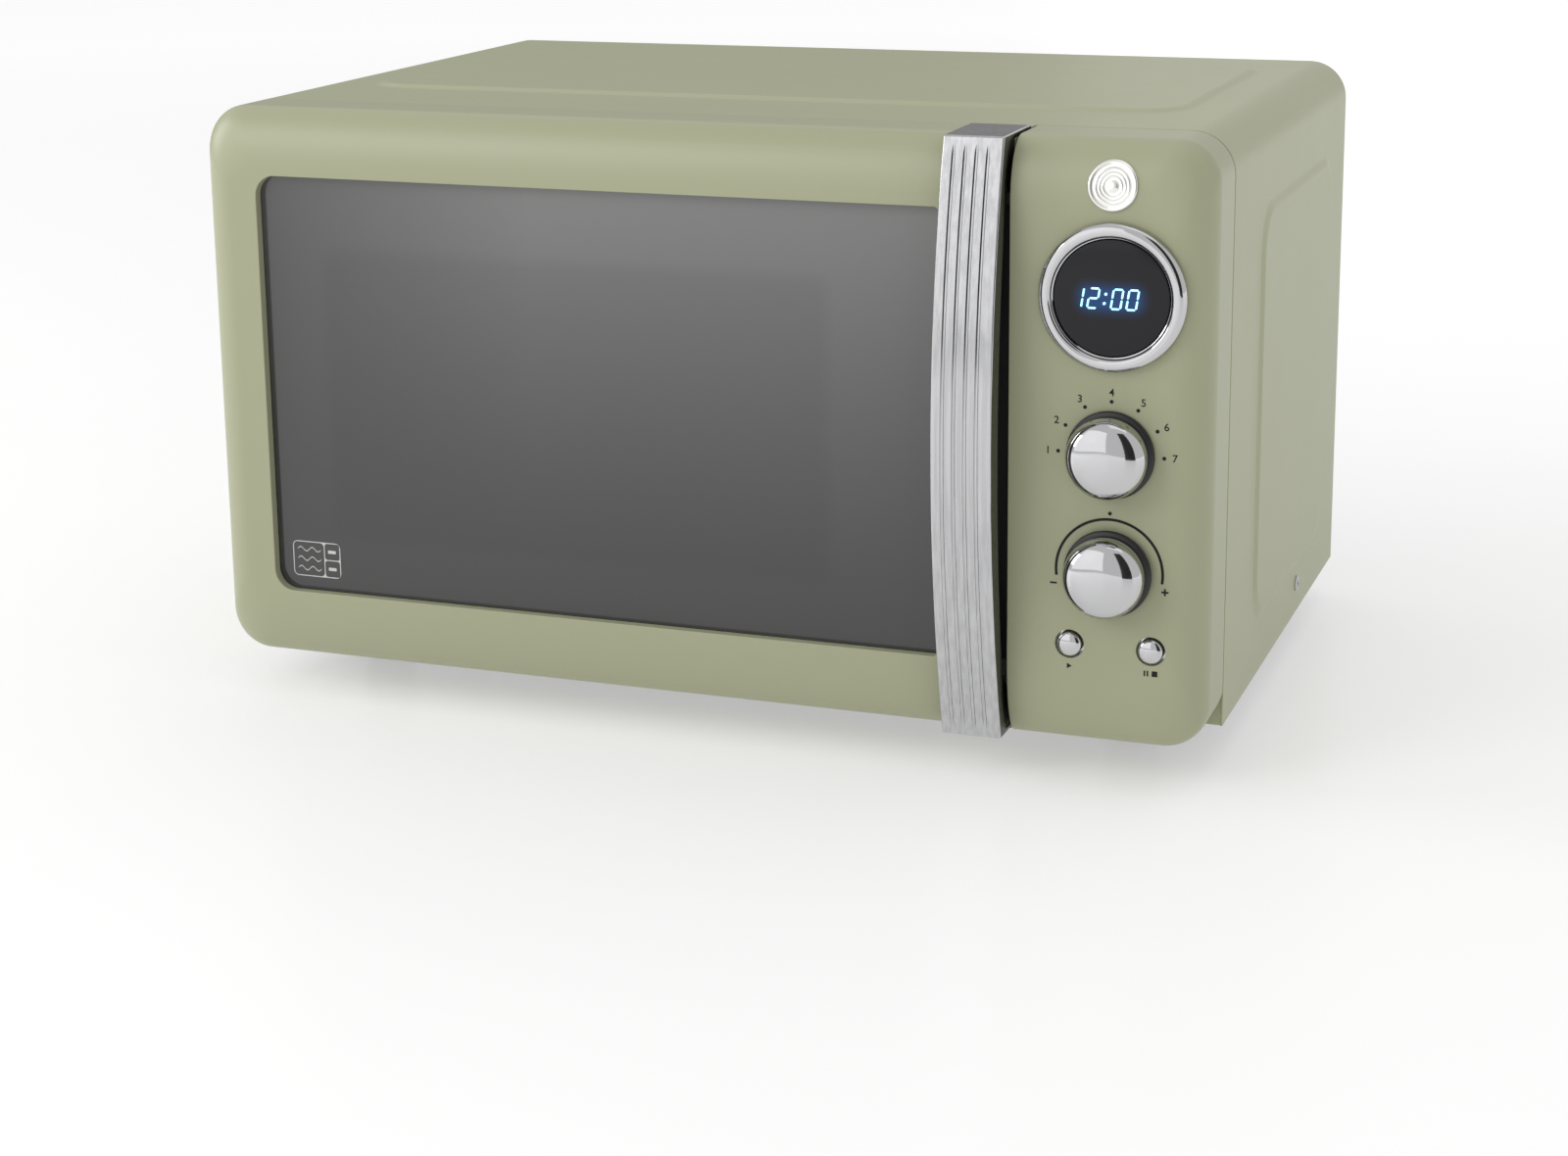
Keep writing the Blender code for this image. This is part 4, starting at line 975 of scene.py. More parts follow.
    def window(self, low, glass_low, glass_high):
        """The window's cutter, with wide left corners and tight right ones under the handle."""
        window_low = Vector((glass_low.x + 0.0038, low.y - 0.01, glass_low.z + 0.0031))
        window_high = Vector((glass_high.x - 0.0032, glass_high.y, glass_high.z - 0.0031))
        cutter = block("window", window_low, window_high, 0.009, "-Y", 10, lambda co: co.x < 0)
        with editing(cutter, "EDGE") as bm:
            for edge in bm.edges:
                first, second = (vert.co for vert in edge.verts)
                on_right = min(first.x, second.x) > window_high.x - 1e-6
                edge.select_set(on_right and abs(first.y - second.y) > 0.005)
            bpy.ops.mesh.bevel(offset=0.0020, segments=4, affect="EDGES")
        return cutter

    def hinge_corner(self, pivot):
        """What the hinge edge loses so that the door turns clear of the oven."""
        points = arc((pivot.x, pivot.y), 0.0076, 99.0, 149.0, 10)
        x, y = points[-1]
        points += [(x - 0.006, y), (x - 0.006, points[0][1] + 0.006), (points[0][0], points[0][1] + 0.006)]
        return outline_solid("hinge_corner", [points], "+Z", -0.01, 0.31)

    def finish_panel(self, panel):
        """Pocket and bores of the control panel's moulding."""
        low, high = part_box("control_panel")
        back = high.y + 0.01
        carve(panel, block("pocket", (0.1430, low.y + 0.004, 0.0320), (0.2070, back, 0.2440), 0.002, "-Y", 3))
        bores = [("display_lens", 0.0232), ("mode_knob", 0.0040), ("timer_knob", 0.0040)]
        bores += [("start_button", 0.00585), ("stop_button", 0.00585)]
        for node, radius in bores:
            centre = middle_of(node)
            start = (centre.x, low.y + 0.03, centre.z)
            carve(panel, turned("bore", ((radius, 0.0), (radius, 0.06)), start, "-Y", 64))
        rim = lambda co: abs(co.y - low.y) < 3e-5 and co.x > PANEL_LEFT + 0.001 and co.z < 0.225
        round_edges(panel, rim, 0.0004, 3, 60)
        round_edges(panel, lambda co: abs(co.y - high.y) < ON_PLANE and at_outline(co), SEAM_BEVEL, 3, 60)
        round_edges(panel, lambda co: abs(co.x - low.x) < ON_PLANE, 0.0004, 2, 60)
        smooth(panel)
        place(panel, "oven", front_plastic(), "green_plastic", "control_panel")


class OVEN_OT_window(PieceOperator, bpy.types.Operator):
    """Smoked door glass and the symbol printed on it"""

    bl_idname = "oven.window"
    bl_label = "Window"

    def execute(self, context):
        low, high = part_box("door_glass")
        glass = block("window_glass", low, high, 0.010, "-Y", 8)
        round_edges(glass, lambda co: True, 0.0004, 2, 60)
        smooth(glass)
        place(glass, "door", smoked_glass(), "dark_glass", "door_glass")
        centre = (-0.1720, 0.0628)
        lift, thickness = 0.00002, 0.00006
        mark = outline_solid("window_symbol", self.symbol(*centre), "-Y", -low.y + lift, thickness)
        place(mark, "door", print_ink("pale_print", (0.55, 0.55, 0.54)), "badge")
        return {"FINISHED"}

    def symbol(self, u, v):
        """A round-cornered frame with three waves beside a column of two cells."""
        half_u, half_v, line, column = 0.0116, 0.0079, 0.00042, 0.0040
        left, right, low_v, high_v = u - half_u, u + half_u, v - half_v, v + half_v
        outlines = [rounded(left, right, low_v, high_v, 0.0024)]
        outlines += [rounded(left + line, u + column - line, low_v + line, high_v - line, 0.0018)]
        for low, high in ((low_v + line, v - line / 2), (v + line / 2, high_v - line)):
            outlines.append(rounded(u + column, right - line, low, high, 0.0012))
        for shift in (-0.0043, 0.0, 0.0043):
            across = [left + 0.0024 + 0.0112 * i / 24 for i in range(25)]
            wave = [(x, v + shift + 0.0009 * math.sin(i * math.pi / 6)) for i, x in enumerate(across)]
            lower = [(x, z - line / 2) for x, z in wave]
            upper = [(x, z + line / 2) for x, z in reversed(wave)]
            outlines.append(lower + upper)
        for low in (v - 0.0046, v + 0.0031):
            outlines.append(rounded(u + column + 0.0016, right - 0.0022, low, low + 0.0014, 0.0003))
        return outlines


def grip_front(z, low, high):
    """Y of the handle's face at a height: a shallow bow."""
    middle, half = (low.z + high.z) / 2, (high.z - low.z) / 2
    share = 1 - ((z - middle) / half) ** 2
    end = FRONT_Y - 0.0030
    return end + (low.y - end) * share


class OVEN_OT_handle(PieceOperator, bpy.types.Operator):
    """Chromed bow handle with four grooves, on a black base"""

    bl_idname = "oven.handle"
    bl_label = "Handle"

    def execute(self, context):
        low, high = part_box("handle_grip")
        grip = outline_solid("handle_bow", [self.side_view(low, high)], "+X", low.x, high.x - low.x)
        on_bow = lambda co: abs(co.y - grip_front(co.z, low, high)) < 2e-5
        on_end = lambda co: co.z > high.z - ON_PLANE or co.z < low.z + ON_PLANE
        round_edges(grip, lambda co: on_bow(co) or on_end(co), 0.0009, 4, 50)
        in_hollow = lambda co: grip_front(co.z, low, high) + 0.003 < co.y < FRONT_Y
        round_edges(grip, in_hollow, 0.0008, 3, 50)
        for x in (0.1190, 0.1236, 0.1281, 0.1327):
            carve(grip, tube("groove", self.groove_line(x, low, high), sizes().groove))
        smooth(grip, 30)
        place(grip, "door", satin_chrome(), "chromed_plastic", "handle_grip")
        # The sides get the darker chrome: painted shade.
        grip.data.materials.append(flank_chrome())
        for face in grip.data.polygons:
            if abs(face.normal.x) > 0.9:
                face.material_index = 1
        base = copy_of(NODES["handle_base"], "handle_channel")
        base.parent = None
        seal(base)
        round_edges(base, lambda co: True, 0.0003, 2, 30)
        smooth(base)
        place(base, "door", black_plastic(), "black_plastic", "handle_base")
        return {"FINISHED"}

    def side_view(self, low, high):
        """Outline in the YZ plane: bowed face, flat caps, and the hollow for fingers."""
        steps = 48
        heights = [low.z + (high.z - low.z) * i / steps for i in range(steps + 1)]
        points = [(grip_front(z, low, high), z) for z in heights]
        seat, lip, end, ease = FRONT_Y + 0.0038, 0.0021, 0.0225, 0.0006
        upper, lower = high.z - end, low.z + end
        points += [(high.y, high.z), (high.y, high.z - lip), (seat, high.z - lip), (seat, upper + ease)]
        half_steps, depth = 16, 0.0094
        for i in range(-half_steps, half_steps + 1):
            z = upper - (upper - lower) * (i + half_steps) / (2 * half_steps)
            points.append((FRONT_Y - ease - depth * (1 - (i / half_steps) ** 2), z))
        points += [(seat, lower - ease), (seat, low.z + lip), (high.y, low.z + lip), (high.y, low.z)]
        return points

    def groove_line(self, x, low, high):
        """The path of a groove's cutter, which leaves the face at both ends."""
        margin, steps, proud, run_out = 0.0022, 44, 0.00036, 0.0006
        points = []
        for i in range(steps + 1):
            z = low.z + margin + (high.z - low.z - 2 * margin) * i / steps
            end_rise = run_out if i in (0, steps) else 0.0
            points.append((x, grip_front(z, low, high) - proud - end_rise, z))
        return points


SEGMENTS = {"0": "abcdef", "1": "bc", "2": "abged"}


def bar(u, v, length, thick, upright):
    """One six-sided segment of a digit about its middle."""
    half, tip = length / 2, thick / 2
    flat = [(-half, 0), (-half + tip, -tip), (half - tip, -tip)]
    flat += [(half, 0), (half - tip, tip), (-half + tip, tip)]
    return [(u - b, v + a) if upright else (u + a, v + b) for a, b in flat]


def digit(symbol, left, low, wide, tall, thick):
    """Outlines of a seven-segment digit, upright."""
    gap = 0.00016
    across, up = wide - thick - 2 * gap, tall / 2 - thick / 2 - 2 * gap
    middle, right_u, left_u = left + wide / 2, left + wide - thick / 2, left + thick / 2
    upper, lower = low + tall * 0.75 - thick / 4, low + tall * 0.25 + thick / 4
    places = {
        "a": (middle, low + tall - thick / 2, across, False), "d": (middle, low + thick / 2, across, False),
        "g": (middle, low + tall / 2, across, False), "b": (right_u, upper, up, True),
        "c": (right_u, lower, up, True), "f": (left_u, upper, up, True), "e": (left_u, lower, up, True),
    }
    outlines = []
    for segment in SEGMENTS[symbol]:
        u, v, length, upright = places[segment]
        outlines.append(bar(u, v, length, thick, upright))
    return outlines


class OVEN_OT_display(PieceOperator, bpy.types.Operator):
    """Chromed ring, smoked lens and the clock's digits"""

    bl_idname = "oven.display"
    bl_label = "Display"

    def execute(self, context):
        low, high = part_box("display_ring")
        centre = Vector(((low.x + high.x) / 2, FRONT_Y, (low.z + high.z) / 2))
        outer = (high.x - low.x) / 2
        profile = [(outer - 0.0002, 0.0003), (outer, 0.0006), (outer, 0.0016)]
        round_in, round_up = 0.0035, 0.0032
        for a in steps_to(80, 10):
            profile.append((outer - round_in + round_in * math.cos(a), 0.0016 + round_up * math.sin(a)))
        profile += [(0.0250, 0.0047), (0.0243, 0.0044), (0.0238, 0.0038), (0.0236, 0.0032)]
        profile += [(0.0233, 0.0030), (0.0230, 0.0028), (0.0230, 0.0003), (outer - 0.0002, 0.0003)]
        ring = turned("clock_ring", profile, centre, "-Y", 128, hollow=True)
        smooth(ring, 40)
        place(ring, "oven", mirror_chrome(), "chromed_plastic", "display_ring")
        lens_profile = [(0.0227, -0.0036), (0.0227, 0.0026), (0.0224, 0.0030), (0.0218, 0.0032)]
        lens_profile += [(0.0160, 0.0037), (0.0080, 0.0040), (0.0030, 0.0041), (0.0, 0.0041)]
        lens = turned("clock_lens", lens_profile, centre, "-Y", 96)
        smooth(lens, 30)
        place(lens, "oven", clock_lens(centre), "dark_glass", "display_lens")
        figures = outline_solid("clock_digits", self.figures(centre), "-Y", -FRONT_Y + 0.0041, 0.00006)
        slant, sag, sag_reach = math.tan(math.radians(9)), 0.000405, 0.016
        for vert in figures.data.vertices:
            vert.co.x += (vert.co.z - centre.z) * slant
            vert.co.y += sag * ((vert.co - centre).xz.length / sag_reach) ** 2
        place(figures, "oven", glowing("clock_light", colours().digits, 1.25), "badge")
        return {"FINISHED"}

    def figures(self, centre):
        """Outlines of a time of day: four digits and a colon."""
        tall, wide, thick = 0.0084, 0.0045, 0.00078
        low = centre.z - tall / 2
        outlines = []
        for symbol, left in zip("1200", (-0.0151, -0.0090, 0.0002, 0.0062)):
            outlines += digit(symbol, centre.x + left, low, wide, tall, thick)
        for z in (-0.0018, 0.0018):
            outlines.append(arc((centre.x - 0.0022, centre.z + z), 0.0006, 0, 330, 11))
        return outlines


def steps_to(last, count):
    """Angles in radians from a first step to a last one, in degrees."""
    return [math.radians(last * (i + 1) / count) for i in range(count)]


class OVEN_OT_dials(PieceOperator, bpy.types.Operator):
    """Two chromed domes on black skirts, with the marks around them"""

    bl_idname = "oven.dials"
    bl_label = "Dials"

    def execute(self, context):
        for prefix, body in (("mode", "mode_dial"), ("timer", "timer_dial")):
            low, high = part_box(f"{prefix}_knob")
            centre = ((low.x + high.x) / 2, high.y, (low.z + high.z) / 2)
            tall, radius = high.y - low.y, (high.x - low.x) / 2
            wall, fullness = 0.0042, 0.88
            profile = [(0.0034, 0.0005), (0.0060, 0.0), (radius - 0.0006, 0.0), (radius - 0.0001, 0.0003)]
            profile += [(radius, 0.0008), (radius, wall)]
            for a in steps_to(87, 26):
                height = wall + (tall - wall) * math.sin(a) ** fullness
                profile.append((radius * math.cos(a) ** fullness, height))
            profile += [(0.0, tall)]
            knob = turned(f"{prefix}_dome", profile, centre, "-Y", 128)
            smooth(knob, 40)
            place(knob, body, mirror_chrome(), "chromed_plastic", f"{prefix}_knob")
            self.skirt(prefix, body)
        self.marks()
        return {"FINISHED"}

    def skirt(self, prefix, body):
        """The black ring behind a dome."""
        low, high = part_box(f"{prefix}_knob_skirt")
        radius, tall, bore = (high.x - low.x) / 2, high.y - low.y, 0.0038
        centre = ((low.x + high.x) / 2, high.y, (low.z + high.z) / 2)
        profile = [(bore, 0.0), (radius - 0.0004, 0.0), (radius, 0.0004), (radius, tall - 0.0011)]
        profile += [(radius - 0.0003, tall - 0.0006), (radius - 0.0012, tall - 0.0002), (0.0155, tall)]
        profile += [(bore, tall), (bore, 0.0)]
        skirt = turned(f"{prefix}_skirt", profile, centre, "-Y", 96, hollow=True)
        smooth(skirt, 40)
        place(skirt, body, black_plastic(), "black_plastic", f"{prefix}_knob_skirt")

    def marks(self):
        """Dots and numerals round the upper dial, and a sweep with - and + round the lower one."""
        mode, timer = middle_of("mode_knob"), middle_of("timer_knob")
        dots_at, sweep_at, sweep_half, top_dot_at = 0.0209, 0.0212, 0.00055, 0.0236
        angles = [math.radians(180 - DIAL_STEP * index) for index in range(DIAL_MARKS)]
        outlines = []
        for angle in angles:
            dot = (mode.x + dots_at * math.cos(angle), mode.z + dots_at * math.sin(angle))
            outlines.append(arc(dot, DOT_RADIUS, 0, 330, 11))
        outer = arc((timer.x, timer.z), sweep_at + sweep_half, -8, 188, 64)
        inner = arc((timer.x, timer.z), sweep_at - sweep_half, 188, -8, 64)
        outlines.append(outer + inner)
        outlines.append(arc((timer.x, timer.z + top_dot_at), DOT_RADIUS, 0, 330, 11))
        outlines += self.less_and_more(timer)
        marks = outline_solid("dial_marks", outlines, "-Y", -FRONT_Y - PRINT_LIFT, PRINT_THICKNESS)
        place(lay_on_front(marks), "oven", dark_ink(), "black_plastic")
        for index, angle in enumerate(angles):
            u, v = mode.x + 0.0250 * math.cos(angle), mode.z + 0.0244 * math.sin(angle)
            place(lay_on_front(self.numeral(index + 1, u, v)), "oven", dark_ink(), "black_plastic")

    def less_and_more(self, timer):
        """A minus left of the sweep and a plus right of it."""
        long, thin, aside = 0.0014, 0.00036, 0.0222
        minus = [(-long, -thin), (long, -thin), (long, thin), (-long, thin)]
        plus = [(thin, -long), (thin, -thin), (long, -thin), (long, thin), (thin, thin), (thin, long)]
        plus += [(-a, -b) for a, b in plus]
        v = timer.z - 0.0062
        signs = ((timer.x - aside, minus), (timer.x + aside, plus))
        return [[(u + a, v + b) for a, b in sign] for u, sign in signs]

    def numeral(self, number, u, v):
        bpy.ops.object.select_all(action="DESELECT")
        bpy.ops.object.text_add(location=(u, FRONT_Y - 0.00001, v), rotation=FACINGS["-Y"][0])
        text = bpy.context.active_object
        text.data.body = str(number)
        text.data.size = 0.0042
        text.data.align_x = "CENTER"
        text.data.align_y = "CENTER"
        text.data.extrude = 0.00006
        text.data.offset = 0.00004
        bpy.ops.object.convert(target="MESH")
        return seal(adopt(f"numeral_{number}"))


class OVEN_OT_keys(PieceOperator, bpy.types.Operator):
    """Two domed keys and the signs under them"""

    bl_idname = "oven.keys"
    bl_label = "Keys"

    def execute(self, context):
        for name in ("start", "stop"):
            node = f"{name}_button"
            centre = (middle_of(node).x, FRONT_Y, middle_of(node).z)
            rise = FRONT_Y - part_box(node)[0].y
            stem, flange, cap = 0.0018, 0.0072, 0.0050
            profile = [(stem, -0.0118), (stem, -0.0056), (flange, -0.0056), (flange, -0.0044)]
            profile += [(cap, -0.0044), (cap, -0.0004)]
            profile += [(cap * math.cos(a), rise * math.sin(a)) for a in steps_to(84, 9)] + [(0.0, rise)]
            key = turned(f"{name}_key", profile, centre, "-Y", 64)
            smooth(key, 40)
            place(key, f"{name}_key", mirror_chrome(), "chromed_plastic", node)
        signs = outline_solid("key_signs", self.signs(), "-Y", -FRONT_Y - PRINT_LIFT, PRINT_THICKNESS)
        place(lay_on_front(signs), "oven", dark_ink(), "black_plastic")
        return {"FINISHED"}

    def signs(self):
        """A triangle for start; two bars and a square for pause and stop."""
        start, stop = middle_of("start_button"), middle_of("stop_button")
        v, half, bar_wide = start.z - 0.0090, 0.0011, 0.0006
        outlines = [[(start.x - half * 0.8, v - half), (start.x + half, v), (start.x - half * 0.8, v + half)]]
        for shift, wide in ((-0.0026, bar_wide), (-0.0014, bar_wide), (0.0006, 2 * half)):
            left, right = stop.x + shift, stop.x + shift + wide
            outlines.append([(left, v - half), (right, v - half), (right, v + half), (left, v + half)])
        return outlines


class OVEN_OT_badge(PieceOperator, bpy.types.Operator):
    """A plain round badge with a raised rim and rings"""

    bl_idname = "oven.badge"
    bl_label = "Badge"

    def execute(self, context):
        centre = middle_of("badge")
        radius = (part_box("badge")[1].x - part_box("badge")[0].x) / 2
        profile = [(radius - 0.0002, -0.0002), (radius, 0.0002), (radius - 0.0001, 0.0007)]
        profile += [(radius - 0.0006, 0.0011), (radius - 0.0011, 0.0011), (radius - 0.0016, 0.0007)]
        profile += [(radius - 0.0020, 0.0006)]
        for ring in (0.0068, 0.0054, 0.0040):
            profile += [(ring, 0.0006), (ring - 0.0003, 0.0008), (ring - 0.0006, 0.0006)]
        profile += [(0.0022, 0.0006), (0.0018, 0.0009), (0.0008, 0.0011), (0.0, 0.0011)]
        disc = turned("round_badge", profile, (centre.x, FRONT_Y, centre.z), "-Y", 96)
        lay_on_front(disc)
        smooth(disc, 50, weighted=False)
        place(disc, "oven", satin_badge(), "badge", "badge")
        return {"FINISHED"}


def satin_badge():
    return surface("satin_badge", (0.84, 0.84, 0.80), 0.22, 0.9, drift=0.03, grain=300.0, bump=0.000002)


class OVEN_OT_underside(PieceOperator, bpy.types.Operator):
    """Feet, rear screws, side rivets and the cord gland"""

    bl_idname = "oven.underside"
    bl_label = "Feet and fixings"

    def execute(self, context):
        for corner in ("front_left", "front_right", "rear_left", "rear_right"):
            self.foot(f"foot_{corner}")
        for index in (1, 2, 3):
            self.screw(f"rear_screw_{index}")
        for side, facing, name in ((1, "+X", "side_rivet_right"), (-1, "-X", "side_rivet_left")):
            self.rivet(name, side, facing)
        self.gland()
        return {"FINISHED"}

    def foot(self, node):
        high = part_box(node)[1]
        inner, outer = 0.0060, 0.0120
        profile = [(inner, 0.0008), (0.0066, 0.0), (0.0088, 0.0), (0.0094, 0.0004), (0.0099, 0.0014)]
        profile += [(0.0119, 0.0124), (outer, 0.0132), (outer, high.z - 0.0004)]
        profile += [(0.0116, high.z), (inner, high.z)]
        foot = turned(f"rubber_{node}", profile, (middle_of(node).x, middle_of(node).y, 0.0), "+Z", 64)
        smooth(foot, 35)
        place(foot, "oven", rubber(), "rubber", node)

    def rivet(self, name, side, facing):
        profile = [(0.0030, -0.0006), (0.0036, 0.0), (0.0036, 0.0004), (0.0032, 0.0008), (0.0020, 0.0010)]
        profile += [(0.0016, 0.0010), (0.0013, 0.0004), (0.0, 0.0003)]
        rivet = turned(name, profile, (side * SIDE_X, FRONT_Y + 0.203, 0.032), facing, 40)
        smooth(rivet, 35)
        place(rivet, "oven", zinc(), "zinc_steel")

    def gland(self):
        low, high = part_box("cable_gland")
        deep, bore = high.y - low.y, 0.0040
        profile = [(bore, 0.0), (0.0072, 0.0), (0.0072, 0.0062), (0.0100, 0.0062), (0.0100, 0.0072)]
        profile += [(0.0098, 0.0080), (0.0090, deep - 0.0003), (0.0085, deep), (0.0052, deep)]
        profile += [(0.0042, deep - 0.0008), (bore, deep - 0.0016), (bore, 0.0)]
        centre = ((low.x + high.x) / 2, low.y, (low.z + high.z) / 2)
        gland = turned("cord_gland", profile, centre, "+Y", 64, hollow=True)
        smooth(gland, 35)
        place(gland, "oven", black_plastic(), "black_plastic", "cable_gland")

    def screw(self, node):
        """A rear screw with a domed head and a cross recess."""
        low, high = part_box(node)
        x, z = (low.x + high.x) / 2, (low.z + high.z) / 2
        deep = high.y - low.y
        under_head = deep - 0.0019
        profile = [(0.0009, 0.0), (0.0017, 0.0010), (0.0017, under_head), (0.0035, under_head)]
        profile += [(0.0036, under_head + 0.0004), (0.0034, deep - 0.0008), (0.0028, deep - 0.0003)]
        profile += [(0.0018, deep), (0.0, deep)]
        screw = turned(f"cross_{node}", profile, (x, low.y, z), "+Y", 40)
        for wide, tall in ((0.0006, 0.0021), (0.0021, 0.0006)):
            cross_low = (x - wide, high.y - 0.0009, z - tall)
            carve(screw, block("cross", cross_low, (x + wide, high.y + 0.002, z + tall)))
        smooth(screw, 35)
        place(screw, "oven", zinc(), "zinc_steel", node)


def rubber():
    return surface("foot_rubber", (0.018, 0.018, 0.018), 0.75, drift=0.25, grain=2200.0, bump=0.00004)


def zinc():
    """Zinc-coated sheet: a soft pattern of crystal patches over fine rolling lines."""
    found = bpy.data.materials.get("zinc_sheet")
    if found:
        return found
    material = brushed("zinc_sheet", (0.50, 0.50, 0.50), 0.34, (300.0, 40.0, 300.0), 0.16, 0.000006)
    tree = material.node_tree
    shader = tree.nodes["Principled BSDF"]
    patches = tree.nodes.new("ShaderNodeTexVoronoi")
    patches.inputs["Scale"].default_value = 130.0
    tree.links.new(tree.nodes["Texture Coordinate"].outputs["Object"], patches.inputs["Vector"])
    tone = tree.nodes.new("ShaderNodeSeparateColor")
    tree.links.new(patches.outputs["Color"], tone.inputs[0])
    shade = math_node(tree, "MULTIPLY", tone.outputs[0], 0.28)
    base = shader.inputs["Base Color"].links[0].from_socket
    tree.links.new(mixed(tree, shade, base, (0.30, 0.30, 0.31)), shader.inputs["Base Color"])
    return material


class OVEN_OT_chamber(PieceOperator, bpy.types.Operator):
    """Glass turntable plate"""

    bl_idname = "oven.chamber"
    bl_label = "Chamber"

    def execute(self, context):
        low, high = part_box("turntable_plate")
        radius, tall = (high.x - low.x) / 2, high.z - low.z
        centre = ((low.x + high.x) / 2, (low.y + high.y) / 2, low.z)
        profile = [(0.0085, 0.0006), (0.0090, 0.0), (0.0700, 0.0), (0.0704, 0.0006), (0.0720, 0.0006)]
        profile += [(0.0724, 0.0), (0.0965, 0.0), (0.0990, 0.0006), (0.1065, 0.0044)]
        profile += [(radius - 0.0008, tall - 0.0014), (radius, tall - 0.0008)]
        profile += [(radius - 0.0003, tall - 0.0002), (radius - 0.0010, tall)]
        profile += [(radius - 0.0020, tall - 0.0002), (0.1042, 0.0072), (0.0985, 0.0048), (0.0935, 0.0040)]
        for ring in (0.0800, 0.0600, 0.0400):
            profile += [(ring + 0.0012, 0.0040), (ring, 0.0044), (ring - 0.0012, 0.0040)]
        profile += [(0.0100, 0.0040), (0.0, 0.0040)]
        dish = turned("glass_plate", profile, centre, "+Z", 128)
        smooth(dish, 35)
        place(dish, "plate", clear_glass(), "clear_glass", "turntable_plate")
        return {"FINISHED"}


class OVEN_OT_finishes(PieceOperator, bpy.types.Operator):
    """Finishes of the pieces that keep their frame shape"""

    bl_idname = "oven.finishes"
    bl_label = "Finishes"

    def execute(self, context):
        for material, names in self.finishes():
            for name in names.split():
                node = NODES[name]
                node.data.materials.clear()
                node.data.materials.append(material)
        return {"FINISHED"}

    def finishes(self):
        """Each finish with the pieces that have it."""
        yield zinc(), "rear_panel base_plate upper_hinge_bracket lower_hinge_bracket"
        yield zinc(), "upper_hinge_pin lower_hinge_pin latch_spring mode_knob_shaft timer_knob_shaft"
        yield zinc(), "waveguide_duct turntable_motor"
        # The front frame is near-black as painted shade in the seam.
        yield frame_enamel(), "front_frame"
        cavity = surface("cavity_enamel", (0.40, 0.41, 0.40), 0.33, drift=0.12, grain=1600.0, bump=0.000015)
        yield cavity, "cavity_liner"
        mica = surface("pressed_mica", (0.50, 0.44, 0.32), 0.5, drift=0.35, grain=240.0, bump=0.00005)
        yield mica, "waveguide_cover"
        yield perforated_steel(), "door_screen"
        yield black_plastic(), "door_choke_cover display_module door_switch_upper door_switch_lower"
        white = surface("white_nylon", (0.70, 0.70, 0.66), 0.42, drift=0.06, grain=900.0, bump=0.00001)
        yield white, "latch_hooks mode_encoder timer_encoder fan_shroud fan_impeller switch_bracket"
        yield white, "drive_coupler roller_ring roller_1 roller_2 roller_3"
        resist = surface("solder_resist", (0.02, 0.12, 0.05), 0.35, drift=0.3, grain=350.0, bump=0.00003)
        yield resist, "control_board"
        iron = surface("lacquered_iron", (0.16, 0.10, 0.07), 0.45, 0.6, drift=0.4, grain=500.0, bump=0.00006)
        yield iron, "hv_transformer fan_motor"
        alloy = brushed("plain_alloy", (0.66, 0.66, 0.67), 0.32, (200.0, 200.0, 1200.0))
        yield alloy, "hv_capacitor magnetron"
        yield clear_glass(), "cavity_lamp"


def frame_enamel():
    """The steel frame behind the door, near-black as painted shade so that the seam round the front reads
    dark.
    """
    return surface("frame_enamel", (0.024, 0.025, 0.022), 0.40, drift=0.05, grain=700.0, bump=0.00001)


# Stage


def area_light(name, place_at, aim, size, power):
    bpy.ops.object.light_add(type="AREA", location=place_at)
    light = bpy.context.active_object
    light.name = name
    light.data.shape = "RECTANGLE"
    light.data.size, light.data.size_y = size
    light.data.energy = power
    light.rotation_euler = (Vector(aim) - Vector(place_at)).to_track_quat("-Z", "Y").to_euler()
    return light


def card(name, centre, size, tone):
    """An upright card that faces the object and is seen in reflections only."""
    bpy.ops.object.select_all(action="DESELECT")
    turn = (Vector((0.0, 0.0, centre[2])) - Vector(centre)).to_track_quat("Z", "Y").to_euler()
    bpy.ops.mesh.primitive_plane_add(size=1.0, location=centre, rotation=turn)
    bpy.context.active_object.scale = (size[0], size[1], 1.0)
    sheet = adopt(name)
    material, tree, shader, coordinates = start_material(name)
    drift = use_group(tree, surface_group(), coordinates, Colour=(tone, tone, tone, 1.0), Tint_Drift=0.1)
    shader.inputs["Base Color"].default_value = (0.0, 0.0, 0.0, 1.0)
    tree.links.new(drift.outputs["Colour"], shader.inputs["Emission Color"])
    tree.links.new(drift.outputs["Roughness"], shader.inputs["Roughness"])
    shader.inputs["Emission Strength"].default_value = 1.0
    sheet.data.materials.append(material)
    sheet.visible_camera = sheet.visible_diffuse = sheet.visible_shadow = sheet.visible_transmission = False
    return sheet


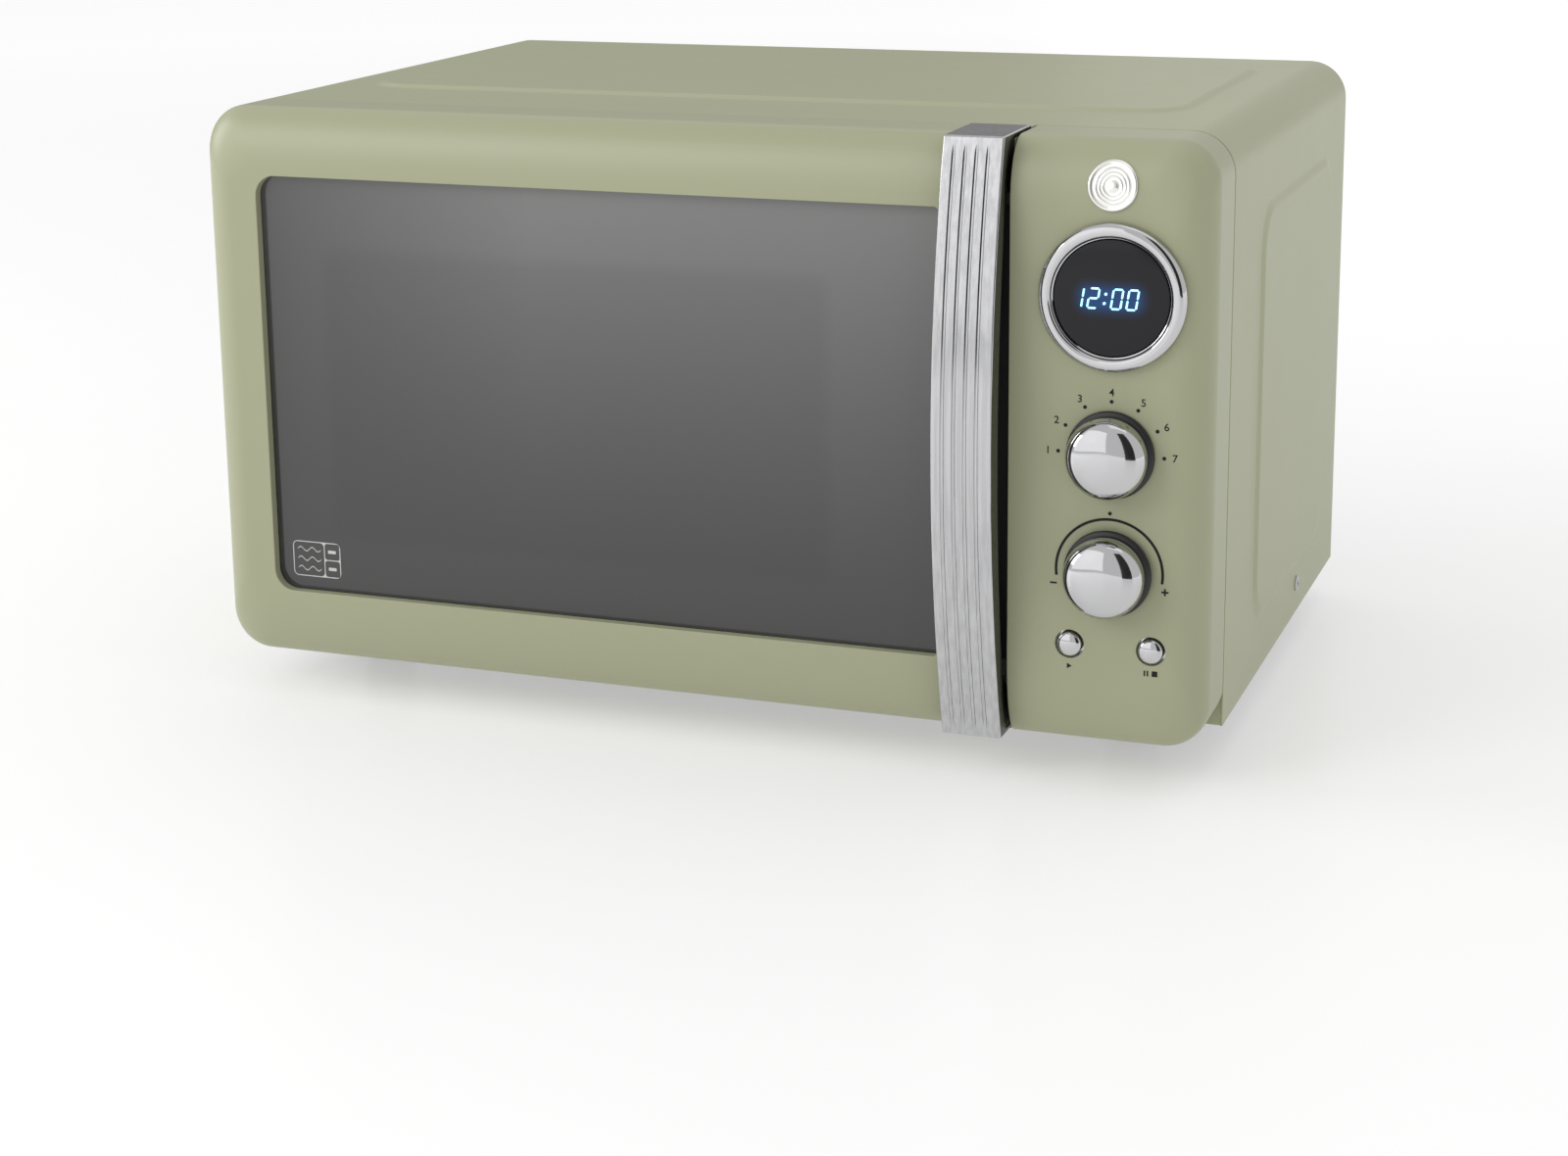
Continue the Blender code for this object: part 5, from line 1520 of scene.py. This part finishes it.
class OVEN_OT_stage(PieceOperator, bpy.types.Operator):
    """Pale floor, soft lights and the camera"""

    bl_idname = "oven.stage"
    bl_label = "Stage"

    def execute(self, context):
        bpy.ops.object.select_all(action="DESELECT")
        bpy.ops.mesh.primitive_circle_add(vertices=96, radius=9.0, fill_type="NGON")
        floor = adopt("floor")
        material, tree, shader, coordinates = start_material("floor_paint_painted_shade")
        drift = use_group(
            tree, surface_group(), coordinates, Colour=tuple(colours().floor), Roughness=0.30, Tint_Drift=0.01
        )
        connect(tree, shader, drift.outputs["Colour"], drift.outputs["Roughness"])
        # Painted shade near the oven and painted light further out: the floor's glow is weaker close to the
        # oven and stronger at a distance.
        away = tree.nodes.new("ShaderNodeVectorMath")
        away.operation = "LENGTH"
        tree.links.new(coordinates, away.inputs[0])
        far = 3.0
        share = math_node(tree, "DIVIDE", away.outputs["Value"], far, clamp=True)
        glow = mixed(tree, share, (0.78, 0.78, 0.78), (1.25, 1.25, 1.25))
        tree.links.new(glow, shader.inputs["Emission Color"])
        shader.inputs["Emission Strength"].default_value = 0.45
        shader.inputs["Specular IOR Level"].default_value = 0.12
        floor.data.materials.append(material)
        world = bpy.data.worlds.new("studio")
        world.use_nodes = True
        world.node_tree.nodes["Background"].inputs["Color"].default_value = (1.0, 1.0, 1.0, 1.0)
        world.node_tree.nodes["Background"].inputs["Strength"].default_value = 0.76
        context.scene.world = world
        area_light("key", (-1.1, -1.7, 1.3), (0.0, -0.1, 0.12), (1.0, 1.0), 11.0)
        area_light("left", (-2.0, -0.5, 0.9), (-0.2, -0.1, 0.12), (0.9, 0.9), 13.0)
        area_light("top", (0.5, 0.2, 1.9), (0.1, 0.0, 0.2), (1.2, 1.2), 2.0)
        card("card_back", (-3.2, 3.2, 0.9), (5.6, 1.8), 0.22)
        card("card_right_dark", (1.476, -1.398, 1.5), (1.14, 3.0), 0.004)
        card("card_left_bright", (-0.95, -1.45, 1.30), (2.2, 2.2), 1.25)
        self.camera(context)
        context.scene.view_settings.view_transform = "Standard"
        return {"FINISHED"}

    def camera(self, context):
        """A short telephoto view from the right and above, with the frame slid down over the floor."""
        bpy.ops.object.camera_add()
        camera = context.active_object
        camera.name = "camera"
        camera.data.sensor_width = 36.0
        camera.data.lens = 64.62
        camera.data.shift_y = -0.115
        camera.location = (0.4296, FRONT_Y - 1.0287, 0.4026)
        yaw, pitch, roll = (math.radians(a) for a in (20.40, 12.91, -0.64))
        turn = Matrix.Rotation(yaw, 3, "Z") @ Matrix.Rotation(math.pi / 2 - pitch, 3, "X")
        turn = turn @ Matrix.Rotation(roll, 3, "Z")
        camera.rotation_euler = turn.to_euler()
        context.scene.camera = camera


STEPS = (
    OVEN_OT_cabinet, OVEN_OT_front, OVEN_OT_window, OVEN_OT_handle, OVEN_OT_display, OVEN_OT_dials,
    OVEN_OT_keys, OVEN_OT_badge, OVEN_OT_underside, OVEN_OT_chamber, OVEN_OT_finishes, OVEN_OT_stage,
)


class OVEN_PT_panel(bpy.types.Panel):
    """Lists the oven's pieces"""

    bl_idname = "OVEN_PT_panel"
    bl_label = "Microwave oven"
    bl_space_type = "VIEW_3D"
    bl_region_type = "UI"
    bl_category = "Oven"

    def draw(self, context):
        for step in STEPS:
            self.layout.operator(step.bl_idname)
        for group in (context.scene.oven_sizes, context.scene.oven_colours):
            for name in group.__annotations__:
                self.layout.prop(group, name)


CLASSES = (OvenSizes, OvenColours, *STEPS, OVEN_PT_panel)


def register():
    for cls in CLASSES:
        bpy.utils.register_class(cls)
    bpy.types.Scene.oven_sizes = PointerProperty(type=OvenSizes)
    bpy.types.Scene.oven_colours = PointerProperty(type=OvenColours)


def unregister():
    del bpy.types.Scene.oven_colours
    del bpy.types.Scene.oven_sizes
    for cls in reversed(CLASSES):
        bpy.utils.unregister_class(cls)


def main():
    register()
    for step in STEPS:
        group, name = step.bl_idname.split(".")
        getattr(getattr(bpy.ops, group), name)()


if __name__ == "__main__":
    main()
